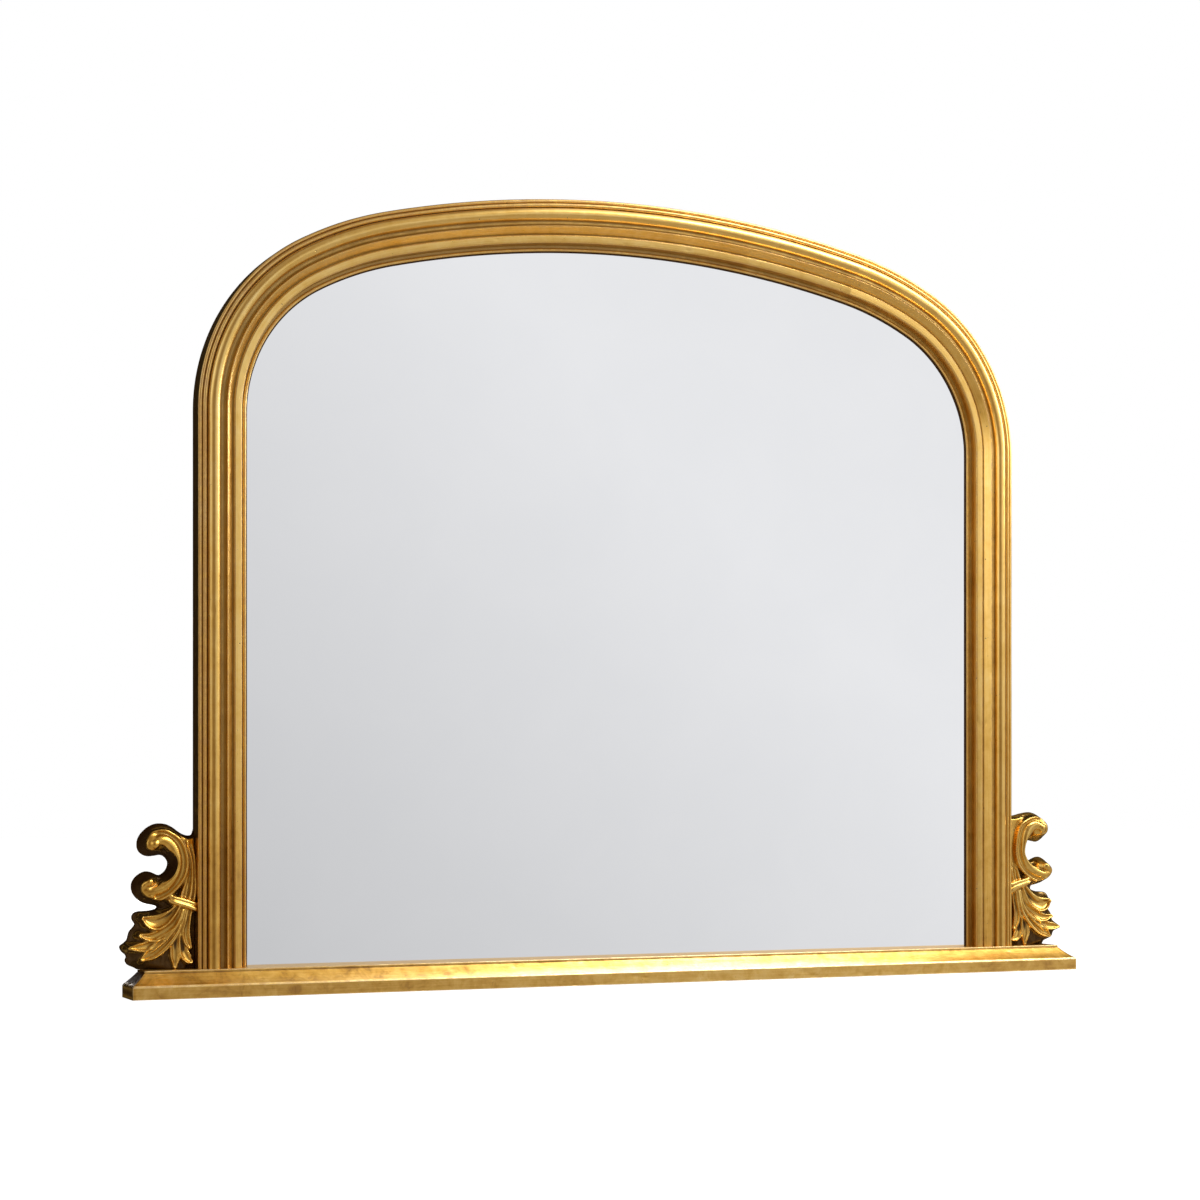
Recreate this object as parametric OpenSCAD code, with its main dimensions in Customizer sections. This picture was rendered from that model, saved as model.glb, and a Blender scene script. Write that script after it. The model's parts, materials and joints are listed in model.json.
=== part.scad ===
// Gilt overmantel mirror: five-centred arch frame on a moulded plinth,
// carved scroll and acanthus ornaments at the foot of each stile.
// +Z is up, the front faces -Y, the origin is the centre of the plinth's
// underside. The back of the frame is the plane y = base_d / 2.

/* [Overall] */
// Height from the shelf to the top of the arch
overall_h = 970; // [940:5:1000]
// Width of the frame over its two stiles
frame_w = 1104; // [1080:2:1130]

/* [Arch] */
// Outer radius of each haunch, next to the stile
haunch_r = 236; // [226:2:246]
// Angle at which the haunch meets the shoulder, in degrees
haunch_a = 61; // [58:0.5:64]
// Outer radius of each shoulder
shoulder_r = 437; // [420:1:450]
// Angle at which the shoulder meets the crown, in degrees
shoulder_a = 76.5; // [74:0.5:78]

/* [Moulding] */
// Width of the frame moulding, from outer edge to sight edge
mould_w = 63; // [60:0.5:66]
// Thickness of the frame moulding at its highest round
mould_t = 34; // [30:0.5:34]
// Width of the rebate that holds the glass
rebate_w = 9; // [8:0.5:10]

/* [Plinth] */
// Width of the plinth
base_w = 1270; // [1250:5:1290]
// Depth of the plinth from front to back
base_d = 54; // [52:1:60]
// Height of the plinth
base_h = 32; // [30:0.5:36]
// Height of the plain face at the bottom of the plinth
fascia_h = 15; // [14:0.5:17]
// How far the plinth's top edge stands back from its face
setback = 20; // [19:0.5:22]

/* [Glass] */
// Thickness of the mirror glass
glass_t = 4; // [3:0.5:5]
// Thickness of the backing board
board_t = 3; // [2.5:0.5:3]

/* [Hangers] */
// Height of the hanger hinges above the shelf
hanger_z = 610; // [560:5:640]
// Wire diameter of the hanger rings
wire_d = 3; // [2.8:0.1:3.2]
// Width of the hanger straps
strap_w = 16; // [14:1:18]

/* [Fixings] */
// Diameter of the dowels in the arch joints
dowel_d = 8; // [6:1:8]
// Length of the dowels in the arch joints
dowel_l = 40; // [30:2:44]

/* [Hidden] */

$fn = 64;
gilt = "goldenrod";
bare_wood = "burlywood";
yb = base_d / 2;          // back plane
a = frame_w / 2;          // outer face of a stile
gap = 0.05;

// ---- arch: three centres a side, found from the radii and angles ----
c1x = a - haunch_r;
c2x = c1x + (haunch_r - shoulder_r) * cos(haunch_a);
crown_r = shoulder_r + c2x / cos(shoulder_a);
rel2 = (haunch_r - shoulder_r) * sin(haunch_a);
rel3 = rel2 + (shoulder_r - crown_r) * sin(shoulder_a);
spring_z = overall_h - crown_r - rel3;   // where the stile meets the haunch
c2z = spring_z + rel2;
c3z = spring_z + rel3;

function arc(cx, cy, r, a0, a1, n) =
    [for (i = [0:n]) let (t = a0 + (a1 - a0) * i / n) [cx + r * cos(t), cy + r * sin(t)]];

// ---- moulding section: s from the outer edge inwards, h up from the back ----
rebate_h = glass_t + board_t + 1;
sw = mould_w / 63;
sh = mould_t / 34;
section_front = concat(
    [[0, 24.6], [0.4, 25.6], [1.1, 26.4], [2.4, 26.8], [3.7, 26.6], [4.4, 25.8], [4.7, 24.5], [5.3, 24.5]],
    arc(7.9, 26.4, 2.5, 180, 0, 8),
    [[10.5, 24.8], [11.1, 24.8]],
    arc(18.9, 26.2, 7.8, 176, 8, 15),
    [[27, 25.6], [30.8, 25.8], [32.3, 27.4], [33.2, 30.4], [33.9, 31.3], [34.5, 31.2], [38.2, 26.5], [42.1, 22],
        [42.7, 22.4], [43.5, 23.9], [44.8, 24.6], [48.5, 24.2], [51.6, 23.7], [52.8, 23.3], [53.2, 22.5],
        [53.5, 11], [54.1, 9.7], [57.2, 9.5]],
    arc(59.5, 9.6, 2.2, 172, 30, 6),
    [[62, 9.9], [63, 8.9]]);
section = concat([[0, 0]],
    [for (p = section_front) [p[0] * sw, p[1] * sh]],
    [[mould_w, rebate_h], [mould_w - rebate_w, rebate_h], [mould_w - rebate_w, 0]]);

// ---- plinth section: d in from the face, z up ----
plinth_top = base_h;
rise = base_h - fascia_h;
plinth_section = concat(
    [[0, 0], [0, fascia_h - 0.8], [0.8, fascia_h], [1.8, fascia_h + 1.2]],
    [for (i = [1:9]) let (t = i / 9) [1.8 + (setback - 4.8) * t, fascia_h + 1.2 + 0.74 * rise * (0.75 * t + 0.25 * t * t)]],
    [[setback - 2.4, fascia_h + 1.2 + 0.74 * rise], [setback - 2.4, base_h - 0.6], [setback - 1.8, base_h], [setback, base_h], [setback, 0]]);

// Sector of the frame: moulding section turned about (cx, cz)
module bend(r, cx, cz, a0, a1) {
    translate([cx, yb, cz]) rotate([90, 0, 0]) rotate([0, 0, a0])
        rotate_extrude(angle = a1 - a0, $fn = 180)
            polygon([for (p = section) [r - p[0], p[1]]]);
}

// A pin across the joint at angle t of an arc, s in from the outer edge
module joint_pin(r, cx, cz, t, s, h, d, l) {
    translate([cx + (r - s) * cos(t), yb - h, cz + (r - s) * sin(t)])
        rotate([0, -t, 0]) cylinder(d = d, h = l, center = true, $fn = 32);
}

// The two pins of each joint on the right-hand side
module pins_side(extra, k) {
    for (q = [[15, 11.5], [37, 8.5]]) {
        if (k == 0) joint_pin(haunch_r, c1x, spring_z, 0, q[0], q[1], dowel_d + extra, dowel_l);
        if (k == 1) joint_pin(haunch_r, c1x, spring_z, haunch_a, q[0], q[1], dowel_d + extra, dowel_l);
        if (k == 2) joint_pin(shoulder_r, c2x, c2z, shoulder_a, q[0], q[1], dowel_d + extra, dowel_l);
    }
}

// ---- hangers ----
strap_t = 1;
ring_y = 2.6;                     // hinge axis, behind the back plane
hang_x = a - 26;
screw_z = [-30, -42];             // below the hinge
module hanger_screw_holes(d, l) {
    for (z = screw_z) translate([hang_x, yb - l, hanger_z + z]) rotate([-90, 0, 0])
        cylinder(d = d, h = l + 0.01, $fn = 32);
}

// ---- plinth screws: [s, h] of each below a stile ----
foot_screws = [[16, 13], [40, 8]];
module foot_screw_at(q) { translate([a - q[0], yb - q[1], 0]) children(); }

// ---- ornament fixing dowels on the stile's side: heights and depth ----
orn_dowel_z = [62, 168];
orn_dowel_h = 6;
module orn_dowels_side(d) {
    for (z = orn_dowel_z) translate([a, yb - orn_dowel_h, z]) rotate([0, 90, 0])
        cylinder(d = d, h = 24, center = true, $fn = 32);
}

module stile_r() {
    difference() {
        translate([0, 0, base_h]) linear_extrude(spring_z - base_h)
            polygon([for (p = section) [a - p[0], yb - p[1]]]);
        pins_side(0, 0);
        hanger_screw_holes(3.6, 13);
        for (q = foot_screws) foot_screw_at(q) translate([0, 0, base_h - 1]) cylinder(d = 4.4, h = 31, $fn = 32);
        orn_dowels_side(6);
    }
}

module haunch_r_() {
    difference() {
        bend(haunch_r, c1x, spring_z, 0, haunch_a);
        pins_side(0, 0);
        pins_side(0, 1);
    }
}

module shoulder_r_() {
    difference() {
        bend(shoulder_r, c2x, c2z, haunch_a, shoulder_a);
        pins_side(0, 1);
        pins_side(0, 2);
    }
}

module right_stile() { color(gilt) stile_r(); }
module left_stile() { color(gilt) mirror([1, 0, 0]) stile_r(); }
module right_haunch() { color(gilt) haunch_r_(); }
module left_haunch() { color(gilt) mirror([1, 0, 0]) haunch_r_(); }
module right_shoulder() { color(gilt) shoulder_r_(); }
module left_shoulder() { color(gilt) mirror([1, 0, 0]) shoulder_r_(); }

module crown() {
    color(gilt) difference() {
        bend(crown_r, 0, c3z, shoulder_a, 180 - shoulder_a);
        pins_side(0, 2);
        mirror([1, 0, 0]) pins_side(0, 2);
    }
}

// Twelve beech dowels, two in each of the six joints of the arch
module arch_dowels() {
    color(bare_wood) for (k = [0:2]) {
        pins_side(-2 * gap, k);
        mirror([1, 0, 0]) pins_side(-2 * gap, k);
    }
}

// ---- plinth ----
core_w = base_w - 2 * setback;
groove_z = base_h - 8;            // floor of the glass rebate
sight_half = a - mould_w;

module plinth_core() {
    color(bare_wood) difference() {
        translate([-core_w / 2, -yb + setback, 0]) cube([core_w, base_d - setback, base_h]);
        // rebate along the top for the glass and the board, open to the back
        translate([-(sight_half + rebate_w), yb - rebate_h, groove_z])
            cube([2 * (sight_half + rebate_w), rebate_h + 1, 20]);
        for (m = [0, 1]) mirror([m, 0, 0]) for (q = foot_screws) foot_screw_at(q) {
            translate([0, 0, -1]) cylinder(d = 5, h = base_h + 2, $fn = 32);
            translate([0, 0, -1]) cylinder(d = 10, h = 7, $fn = 32);
        }
    }
}

// Front moulding, mitred at both ends
module plinth_front_moulding() {
    color(gilt) intersection() {
        translate([-base_w / 2, -yb, 0]) rotate([90, 0, 90]) linear_extrude(base_w) polygon(plinth_section);
        linear_extrude(base_h + 1) polygon([[-base_w / 2, -yb], [base_w / 2, -yb],
            [base_w / 2 - setback, -yb + setback], [-base_w / 2 + setback, -yb + setback]]);
    }
}

module plinth_return_r() {
    intersection() {
        translate([0, yb, 0]) rotate([90, 0, 0]) linear_extrude(base_d)
            polygon([for (p = plinth_section) [base_w / 2 - p[0], p[1]]]);
        linear_extrude(base_h + 1) polygon([[base_w / 2, -yb], [base_w / 2, yb],
            [base_w / 2 - setback, yb], [base_w / 2 - setback, -yb + setback]]);
    }
}
module right_plinth_return() { color(gilt) plinth_return_r(); }
module left_plinth_return() { color(gilt) mirror([1, 0, 0]) plinth_return_r(); }

// Four screws up through the plinth into the stiles
module plinth_screws() {
    color("silver") for (m = [0, 1]) mirror([m, 0, 0]) for (q = foot_screws) foot_screw_at(q) {
        translate([0, 0, 2]) cylinder(d = 9, h = 4, $fn = 32);
        translate([0, 0, 5]) cylinder(d = 4.4, h = base_h + 25, $fn = 32);
    }
}

// ---- glass and what holds it ----
function arch_pts(off, z0) = concat(
    [[a - off, z0]],
    arc(c1x, spring_z, haunch_r - off, 0, haunch_a, 16),
    arc(c2x, c2z, shoulder_r - off, haunch_a + 1, shoulder_a, 6),
    arc(0, c3z, crown_r - off, shoulder_a + 1, 180 - shoulder_a - 1, 16),
    arc(-c2x, c2z, shoulder_r - off, 180 - shoulder_a, 180 - haunch_a - 1, 6),
    arc(-c1x, spring_z, haunch_r - off, 180 - haunch_a, 180, 16),
    [[-a + off, z0]]);

module pane(off, z0, h0, t) {
    translate([0, yb - h0, 0]) rotate([90, 0, 0]) linear_extrude(t) polygon(arch_pts(off, z0));
}

module mirror_glass() {
    color("lightgray") pane(mould_w - rebate_w + 1, groove_z + 2, 1 + board_t, glass_t);
}

module backing_board() {
    color("peru") pane(mould_w - rebate_w + 0.6, groove_z + 0.5, 1, board_t);
}

module setting_blocks() {
    color("dimgray") for (x = [-260, 200])
        translate([x, yb - 1 - board_t - glass_t, groove_z]) cube([60, glass_t, 2]);
}

// Flat steel points driven into the rebate wall behind the board
module point_tab() { translate([-5, -0.4, -4]) cube([14, 0.4, 8]); }
module glazing_points() {
    color("silver") {
        for (m = [0, 1]) mirror([m, 0, 0]) {
            for (z = [160, 400, 640]) translate([a - mould_w + rebate_w - 4, yb - 0.6, z]) point_tab();
            translate([c1x, yb - 0.6, spring_z]) rotate([0, -32, 0])
                translate([haunch_r - mould_w + rebate_w - 4, 0, 0]) point_tab();
            translate([c2x, yb - 0.6, c2z]) rotate([0, -69, 0])
                translate([shoulder_r - mould_w + rebate_w - 4, 0, 0]) point_tab();
            translate([0, yb - 0.6, c3z]) rotate([0, -83, 0])
                translate([crown_r - mould_w + rebate_w - 4, 0, 0]) point_tab();
            translate([330, yb - 0.6, groove_z + 4]) rotate([0, 90, 0]) point_tab();
        }
        translate([0, yb - 0.6, groove_z + 4]) rotate([0, 90, 0]) point_tab();
    }
}

// ---- corner ornament: outline (x out from the stile, z up) ----
orn_outline = [[0, 32], [0, 192], [6, 191], [13, 193], [21, 197], [29, 203], [38, 205], [48, 204],
    [58, 198], [65, 189], [67, 181], [65, 173], [58, 168], [50, 166], [43, 167], [36, 166],
    [32, 161], [31, 155], [33, 148], [41, 142], [47, 145], [56, 147], [65, 144], [71, 137],
    [73, 130], [72, 122], [68, 115], [60, 110], [51, 108], [43, 105], [50, 101], [64, 99],
    [72, 93], [69, 84], [76, 75], [78, 66], [87, 58], [79, 47], [80, 40], [66, 32]];
// raised body of the leaf, inside the outline
leaf_outline = [[4, 98], [26, 107], [44, 98], [60, 95], [66, 90], [61, 83], [69, 73], [70, 66],
    [79, 58], [71, 48], [71, 42], [59, 38], [50, 45], [42, 38], [35, 44], [27, 36], [21, 44],
    [12, 39], [9, 56], [4, 78]];
// the right-hand casting stands taller: height on the left one, height on the right one
orn_tall = [[20, 20], [32, 32], [58, 56.5], [93, 92], [103, 108], [107, 112.5], [130, 133.5], [145, 149.5],
    [156, 159], [163, 170], [177, 188], [192, 203], [205, 212.5]];
function lift(z, right) = right ? lookup(z, orn_tall) : z;
function lifted(pts, right) = [for (p = pts) [p[0], lift(p[1], right)]];
// leaf ribs: foot x, foot z, tip x, tip z, width
orn_ribs = [[24, 104, 58, 92, 7], [20, 100, 62, 75, 7], [17, 96, 73, 58, 9],
    [14, 92, 60, 45, 7], [12, 90, 38, 45, 6], [10, 90, 26, 42, 6], [7, 90, 11, 48, 5]];

// bar of the ornament's relief from p to q, heights h0 to h1 above the back
module orn_bar(p, q, w, h0, h1) {
    v = [q[0] - p[0], q[1] - p[1]];
    l = norm(v);
    translate([p[0], -h1, p[1]]) rotate([0, -atan2(v[1], v[0]), 0])
        translate([0, 0, -w / 2]) cube([l, h1 - h0, w]);
}

module ornament_r(right) {
    difference() {
        translate([a, yb, 0]) {
            // ground
            rotate([90, 0, 0]) linear_extrude(11) polygon(lifted(orn_outline, right));
            // C-scroll, open away from the stile
            translate([52, 0, right ? 160 : 153]) scale([1, 1, right ? 1.17 : 1]) rotate([90, 0, 0]) rotate([0, 0, 80]) rotate_extrude(angle = 200, $fn = 96)
                polygon(concat([[25, 9]], arc(33, 16, 8, 180, 0, 10), [[41, 9]]));
            // volutes
            translate([51, -9, lift(182, right)]) rotate([90, 0, 0]) cylinder(r = 13, h = 12, $fn = 64);
            translate([51, -20, lift(182, right)]) rotate([90, 0, 0]) cylinder(r = 6, h = 6.8, $fn = 48);
            translate([56, -9, lift(127, right)]) rotate([90, 0, 0]) cylinder(r = 14, h = 12, $fn = 64);
            translate([57, -20, lift(130, right)]) rotate([90, 0, 0]) cylinder(r = 6, h = 6.8, $fn = 48);
            // reeds between the scroll and the stile
            orn_bar([8, lift(102, right)], [4, lift(172, right)], 3, 9, 16);
            orn_bar([13.5, lift(102, right)], [9, lift(160, right)], 3, 9, 17);
            // collar
            orn_bar([29, lift(113, right)], [1.5, lift(105.5, right)], 5, 9, 20);
            orn_bar([30, lift(107, right)], [1.5, lift(99.5, right)], 5, 9, 22);
            // leaf
            rotate([90, 0, 0]) linear_extrude(16) polygon(lifted(leaf_outline, right));
            for (i = [0:6]) let (q = orn_ribs[i]) orn_bar([q[0], lift(q[1], right)], [q[2], lift(q[3], right)], q[4], 9, 21 + 0.2 * i);
        }
        orn_dowels_side(6);
    }
}
module right_ornament() { color(gilt) ornament_r(true); }
module left_ornament() { color(gilt) mirror([1, 0, 0]) ornament_r(false); }

module ornament_dowels() {
    color(bare_wood) {
        orn_dowels_side(6 - 2 * gap);
        mirror([1, 0, 0]) orn_dowels_side(6 - 2 * gap);
    }
}

// ---- D-ring hangers on the backs of the stiles ----
bar_half = 11;       // straight part of the ring's bar
bend_r = 3;          // corner bend of the wire
ring_drop = 8;       // length of the ring's sides
bore_r = wire_d / 2 + 0.08;

module hanger_strap_r() {
    translate([hang_x, yb, hanger_z]) difference() {
        union() {
            translate([-strap_w / 2, 0, -48]) cube([strap_w, strap_t, 48]);
            intersection() {
                translate([-strap_w / 2, ring_y, 0]) rotate([0, 90, 0]) cylinder(r = 2.8, h = strap_w, $fn = 48);
                translate([-20, 0, -10]) cube([40, 20, 20]);
            }
        }
        translate([-20, ring_y, 0]) rotate([0, 90, 0]) cylinder(r = bore_r, h = 40, $fn = 48);
        for (z = screw_z) translate([0, -1, z]) rotate([-90, 0, 0]) cylinder(d = 4.2, h = 4, $fn = 32);
    }
}

module hanger_ring_r() {
    ring_r = bar_half + bend_r;
    translate([hang_x, yb + ring_y, hanger_z]) {
        translate([-bar_half, 0, 0]) rotate([0, 90, 0]) cylinder(d = wire_d, h = 2 * bar_half, $fn = 48);
        for (m = [0, 1]) mirror([m, 0, 0]) {
            translate([bar_half, 0, -bend_r]) rotate([90, 0, 0])
                rotate_extrude(angle = 90, $fn = 96) translate([bend_r, 0]) circle(d = wire_d, $fn = 48);
            translate([ring_r, 0, -ring_drop]) cylinder(d = wire_d, h = ring_drop - bend_r, $fn = 48);
        }
        translate([0, 0, -ring_drop]) rotate([90, 0, 0]) rotate([0, 0, 180])
            rotate_extrude(angle = 180, $fn = 128) translate([ring_r, 0]) circle(d = wire_d, $fn = 48);
    }
}

module right_hanger_strap() { color("silver") hanger_strap_r(); }
module left_hanger_strap() { color("silver") mirror([1, 0, 0]) hanger_strap_r(); }
module right_hanger_ring() { color("silver") hanger_ring_r(); }
module left_hanger_ring() { color("silver") mirror([1, 0, 0]) hanger_ring_r(); }

module hanger_screws() {
    color("silver") for (m = [0, 1]) mirror([m, 0, 0]) for (z = screw_z)
        translate([hang_x, yb, hanger_z + z]) rotate([-90, 0, 0]) {
            translate([0, 0, -13]) cylinder(d = 3.6, h = 13 + strap_t + 0.2, $fn = 32);
            translate([0, 0, strap_t]) cylinder(d1 = 7.4, d2 = 5, h = 1.8, $fn = 32);
        }
}

// Rubber bumpers that hold the frame off the wall
module wall_bumpers() {
    color("saddlebrown") for (m = [0, 1]) mirror([m, 0, 0]) {
        translate([585, yb, 14]) rotate([-90, 0, 0]) cylinder(d1 = 12, d2 = 10, h = 5, $fn = 48);
        translate([c1x, yb, spring_z]) rotate([0, -45, 0]) translate([haunch_r - 26, 0, 0])
            rotate([-90, 0, 0]) cylinder(d1 = 12, d2 = 10, h = 5, $fn = 48);
    }
}

left_stile();
right_stile();
left_haunch();
right_haunch();
left_shoulder();
right_shoulder();
crown();
arch_dowels();
plinth_core();
plinth_front_moulding();
left_plinth_return();
right_plinth_return();
plinth_screws();
mirror_glass();
backing_board();
setting_blocks();
glazing_points();
left_ornament();
right_ornament();
ornament_dowels();
left_hanger_strap();
right_hanger_strap();
left_hanger_ring();
right_hanger_ring();
hanger_screws();
wall_bumpers();
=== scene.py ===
import json
import math

import bpy
import numpy as np
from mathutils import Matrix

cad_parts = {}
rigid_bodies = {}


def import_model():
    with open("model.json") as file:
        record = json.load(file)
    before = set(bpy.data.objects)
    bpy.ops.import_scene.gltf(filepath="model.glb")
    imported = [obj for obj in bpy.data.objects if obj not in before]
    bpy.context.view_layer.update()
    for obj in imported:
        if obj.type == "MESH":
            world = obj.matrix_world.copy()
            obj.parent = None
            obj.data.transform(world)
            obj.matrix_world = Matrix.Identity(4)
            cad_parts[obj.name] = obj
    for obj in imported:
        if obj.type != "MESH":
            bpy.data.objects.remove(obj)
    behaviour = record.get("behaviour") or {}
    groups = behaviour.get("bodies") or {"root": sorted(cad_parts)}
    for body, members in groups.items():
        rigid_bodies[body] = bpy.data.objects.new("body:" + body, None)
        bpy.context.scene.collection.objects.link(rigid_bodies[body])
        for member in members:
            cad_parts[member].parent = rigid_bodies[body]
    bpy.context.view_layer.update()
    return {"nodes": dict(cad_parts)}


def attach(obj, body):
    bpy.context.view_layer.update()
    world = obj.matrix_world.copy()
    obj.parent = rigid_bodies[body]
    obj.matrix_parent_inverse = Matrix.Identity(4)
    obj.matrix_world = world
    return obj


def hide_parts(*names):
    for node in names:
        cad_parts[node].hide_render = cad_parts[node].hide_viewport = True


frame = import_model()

nodes = frame["nodes"]
MM = 0.001

# ---------------------------------------------------------------- camera
cam_data = bpy.data.cameras.new("camera")
cam_data.sensor_width = 36.0
cam_data.lens = 76.30
cam_data.shift_y = 0.1562
cam_data.clip_end = 60.0
cam = bpy.data.objects.new("camera", cam_data)
cam.location = (-1.28731, -2.89356, 0.2426)
cam.rotation_euler = (math.radians(90), 0.0, math.radians(-23.231))
bpy.context.scene.collection.objects.link(cam)
bpy.context.scene.camera = cam

# ---------------------------------------------------------------- sizes of the frame, millimetres
A = 552.0                       # outer face of a stile
YB = 27.0                       # back plane
BASE_W, BASE_D, BASE_H, FASCIA = 1270.0, 54.0, 32.0, 15.0
R1, T1 = 236.0, 61.0            # haunch
R2, T2 = 437.0, 76.5            # shoulder
cosd = lambda t: math.cos(math.radians(t))
sind = lambda t: math.sin(math.radians(t))
C1X = A - R1
C2X = C1X + (R1 - R2) * cosd(T1)
R3 = R2 + C2X / cosd(T2)
REL2 = (R1 - R2) * sind(T1)
REL3 = REL2 + (R2 - R3) * sind(T2)
SPRING = 970.0 - R3 - REL3
C2Z = SPRING + REL2
C3Z = SPRING + REL3


# ---------------------------------------------------------------- small tools
def hash01(a, b, seed):
    """Repeatable random number in 0..1 for whole numbers a, b."""
    n = (a.astype(np.int64) * 374761393 + b.astype(np.int64) * 668265263 + seed * 974711) & 0xFFFFFFFF
    n = ((n ^ (n >> 13)) * 1274126177) & 0xFFFFFFFF
    return ((n ^ (n >> 16)) & 0xFFFF) / 65535.0


def wave(u, v, seed):
    """Smooth random surface between -1 and 1, one bump per unit."""
    iu, iv = np.floor(u), np.floor(v)
    fu, fv = u - iu, v - iv
    fu = fu * fu * fu * (fu * (fu * 6 - 15) + 10)
    fv = fv * fv * fv * (fv * (fv * 6 - 15) + 10)
    h00, h10 = hash01(iu, iv, seed), hash01(iu + 1, iv, seed)
    h01, h11 = hash01(iu, iv + 1, seed), hash01(iu + 1, iv + 1, seed)
    return 2 * ((h00 * (1 - fu) + h10 * fu) * (1 - fv) + (h01 * (1 - fu) + h11 * fu) * fv) - 1


def smax(a, b, k):
    h = np.clip(0.5 + 0.5 * (a - b) / k, 0, 1)
    return b + (a - b) * h + k * h * (1 - h)


def smin(a, b, k):
    return -smax(-a, -b, k)


def sstep(a, b, x):
    t = np.clip((x - a) / (b - a), 0, 1)
    return t * t * (3 - 2 * t)


def make_mesh(name, V, quads, caps=(), attrs=None, mats=(), mat_index=None, sharp=None):
    """Object from vertices in millimetres, an array of quads and a list of larger faces."""
    me = bpy.data.meshes.new(name)
    V = np.asarray(V, np.float64) * MM
    quads = np.asarray(quads, np.int64).reshape(-1, 4)
    # outward faces: the signed volume of the quads alone decides
    p = V[quads]
    vol = np.einsum("ij,ij->i", p[:, 0], np.cross(p[:, 1], p[:, 2])).sum()
    vol += np.einsum("ij,ij->i", p[:, 0], np.cross(p[:, 2], p[:, 3])).sum()
    for c in caps:
        q = V[np.asarray(c)]
        vol += np.einsum("ij,ij->i", np.repeat(q[:1], len(q) - 2, 0), np.cross(q[1:-1], q[2:])).sum()
    if vol < 0:
        quads = quads[:, ::-1]
        caps = [list(c)[::-1] for c in caps]
    idx = [quads.ravel()] + [np.asarray(c, np.int64) for c in caps]
    starts = list(np.arange(0, quads.size, 4))
    at = quads.size
    for c in caps:
        starts.append(at)
        at += len(c)
    me.vertices.add(len(V))
    me.vertices.foreach_set("co", V.astype(np.float32).ravel())
    me.loops.add(at)
    me.loops.foreach_set("vertex_index", np.concatenate(idx).astype(np.int32))
    me.polygons.add(len(starts))
    me.polygons.foreach_set("loop_start", np.array(starts, np.int32))
    me.polygons.foreach_set("use_smooth", np.ones(len(starts), bool))
    for m in mats:
        me.materials.append(m)
    if mat_index is not None:
        mi = np.asarray(mat_index, np.int32)
        if len(mi) < len(starts):
            mi = np.concatenate([mi, np.full(len(starts) - len(mi), mi[0] if len(mi) else 0, np.int32)])
        me.polygons.foreach_set("material_index", mi)
    me.update(calc_edges=True)
    for k, val in (attrs or {}).items():
        val = np.asarray(val, np.float32)
        if val.ndim == 2:
            a = me.attributes.new(k, "FLOAT_VECTOR", "POINT")
            a.data.foreach_set("vector", val.ravel())
        else:
            a = me.attributes.new(k, "FLOAT", "POINT")
            a.data.foreach_set("value", val)
    if sharp is not None:
        me.set_sharp_from_angle(angle=math.radians(sharp))
    me.validate()
    ob = bpy.data.objects.new(name, me)
    bpy.context.scene.collection.objects.link(ob)
    return ob


def arc(cx, cy, r, a0, a1, n):
    return [[cx + r * cosd(a0 + (a1 - a0) * i / n), cy + r * sind(a0 + (a1 - a0) * i / n)] for i in range(n + 1)]


def blur_closed(P, sigma, step):
    """Gaussian smoothing of a closed line of evenly spaced points."""
    k = int(3 * sigma / step) + 1
    w = np.exp(-0.5 * (np.arange(-k, k + 1) * step / sigma) ** 2)
    w /= w.sum()
    out = np.zeros_like(P)
    for i, wi in zip(range(-k, k + 1), w):
        out += wi * np.roll(P, -i, axis=0)
    return out


class Section:
    """A closed moulding section with eased arrises. Columns are in from the edge, and out."""

    def __init__(s, pts, ease, fine, coarse, is_back, turn=12.0):
        P = np.asarray(pts, float)
        Q = np.vstack([P, P[:1]])
        L = np.concatenate([[0], np.cumsum(np.hypot(*np.diff(Q, axis=0).T))])
        n = int(L[-1] / 0.08)
        t = np.linspace(0, L[-1], n, endpoint=False)
        D = np.stack([np.interp(t, L, Q[:, 0]), np.interp(t, L, Q[:, 1])], 1)
        st = L[-1] / n
        D = blur_closed(D, ease, st)
        wide = blur_closed(D, 1.5, st)
        wider = blur_closed(D, 4.0, st)
        T = np.roll(D, -1, 0) - np.roll(D, 1, 0)
        T /= np.hypot(T[:, 0], T[:, 1])[:, None]
        area = 0.5 * np.sum(D[:, 0] * np.roll(D[:, 1], -1) - np.roll(D[:, 0], -1) * D[:, 1])
        N = np.stack([T[:, 1], -T[:, 0]], 1) * (1 if area > 0 else -1)
        ang = np.unwrap(np.arctan2(T[:, 1], T[:, 0]))
        kap = np.abs(np.gradient(ang) / st)
        back = np.array([is_back(p) for p in D])
        rho = np.where(back, 1 / coarse, 1 / fine) + kap / math.radians(turn)
        cum = np.concatenate([[0], np.cumsum(rho * st)])
        m = int(cum[-1])
        pick = np.interp(np.linspace(0, cum[-1], m, endpoint=False), cum, np.arange(n + 1))
        def at(arr):
            arr2 = np.concatenate([arr, arr[:1]])
            i = np.floor(pick).astype(int)
            f = pick - i
            f = f[:, None] if arr2.ndim == 2 else f
            return arr2[i] * (1 - f) + arr2[i + 1] * f
        s.p, s.n = at(D), at(N)
        s.n /= np.hypot(s.n[:, 0], s.n[:, 1])[:, None]
        s.crest = np.clip(at(np.einsum("ij,ij->i", D - wide, N)) / 0.32, -1, 1)
        s.high = np.clip(at(np.einsum("ij,ij->i", D - wider, N)) / 1.6, -1, 1)
        s.arc = pick * st
        s.back = at(back.astype(float)) > 0.5
        s.m = m


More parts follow.
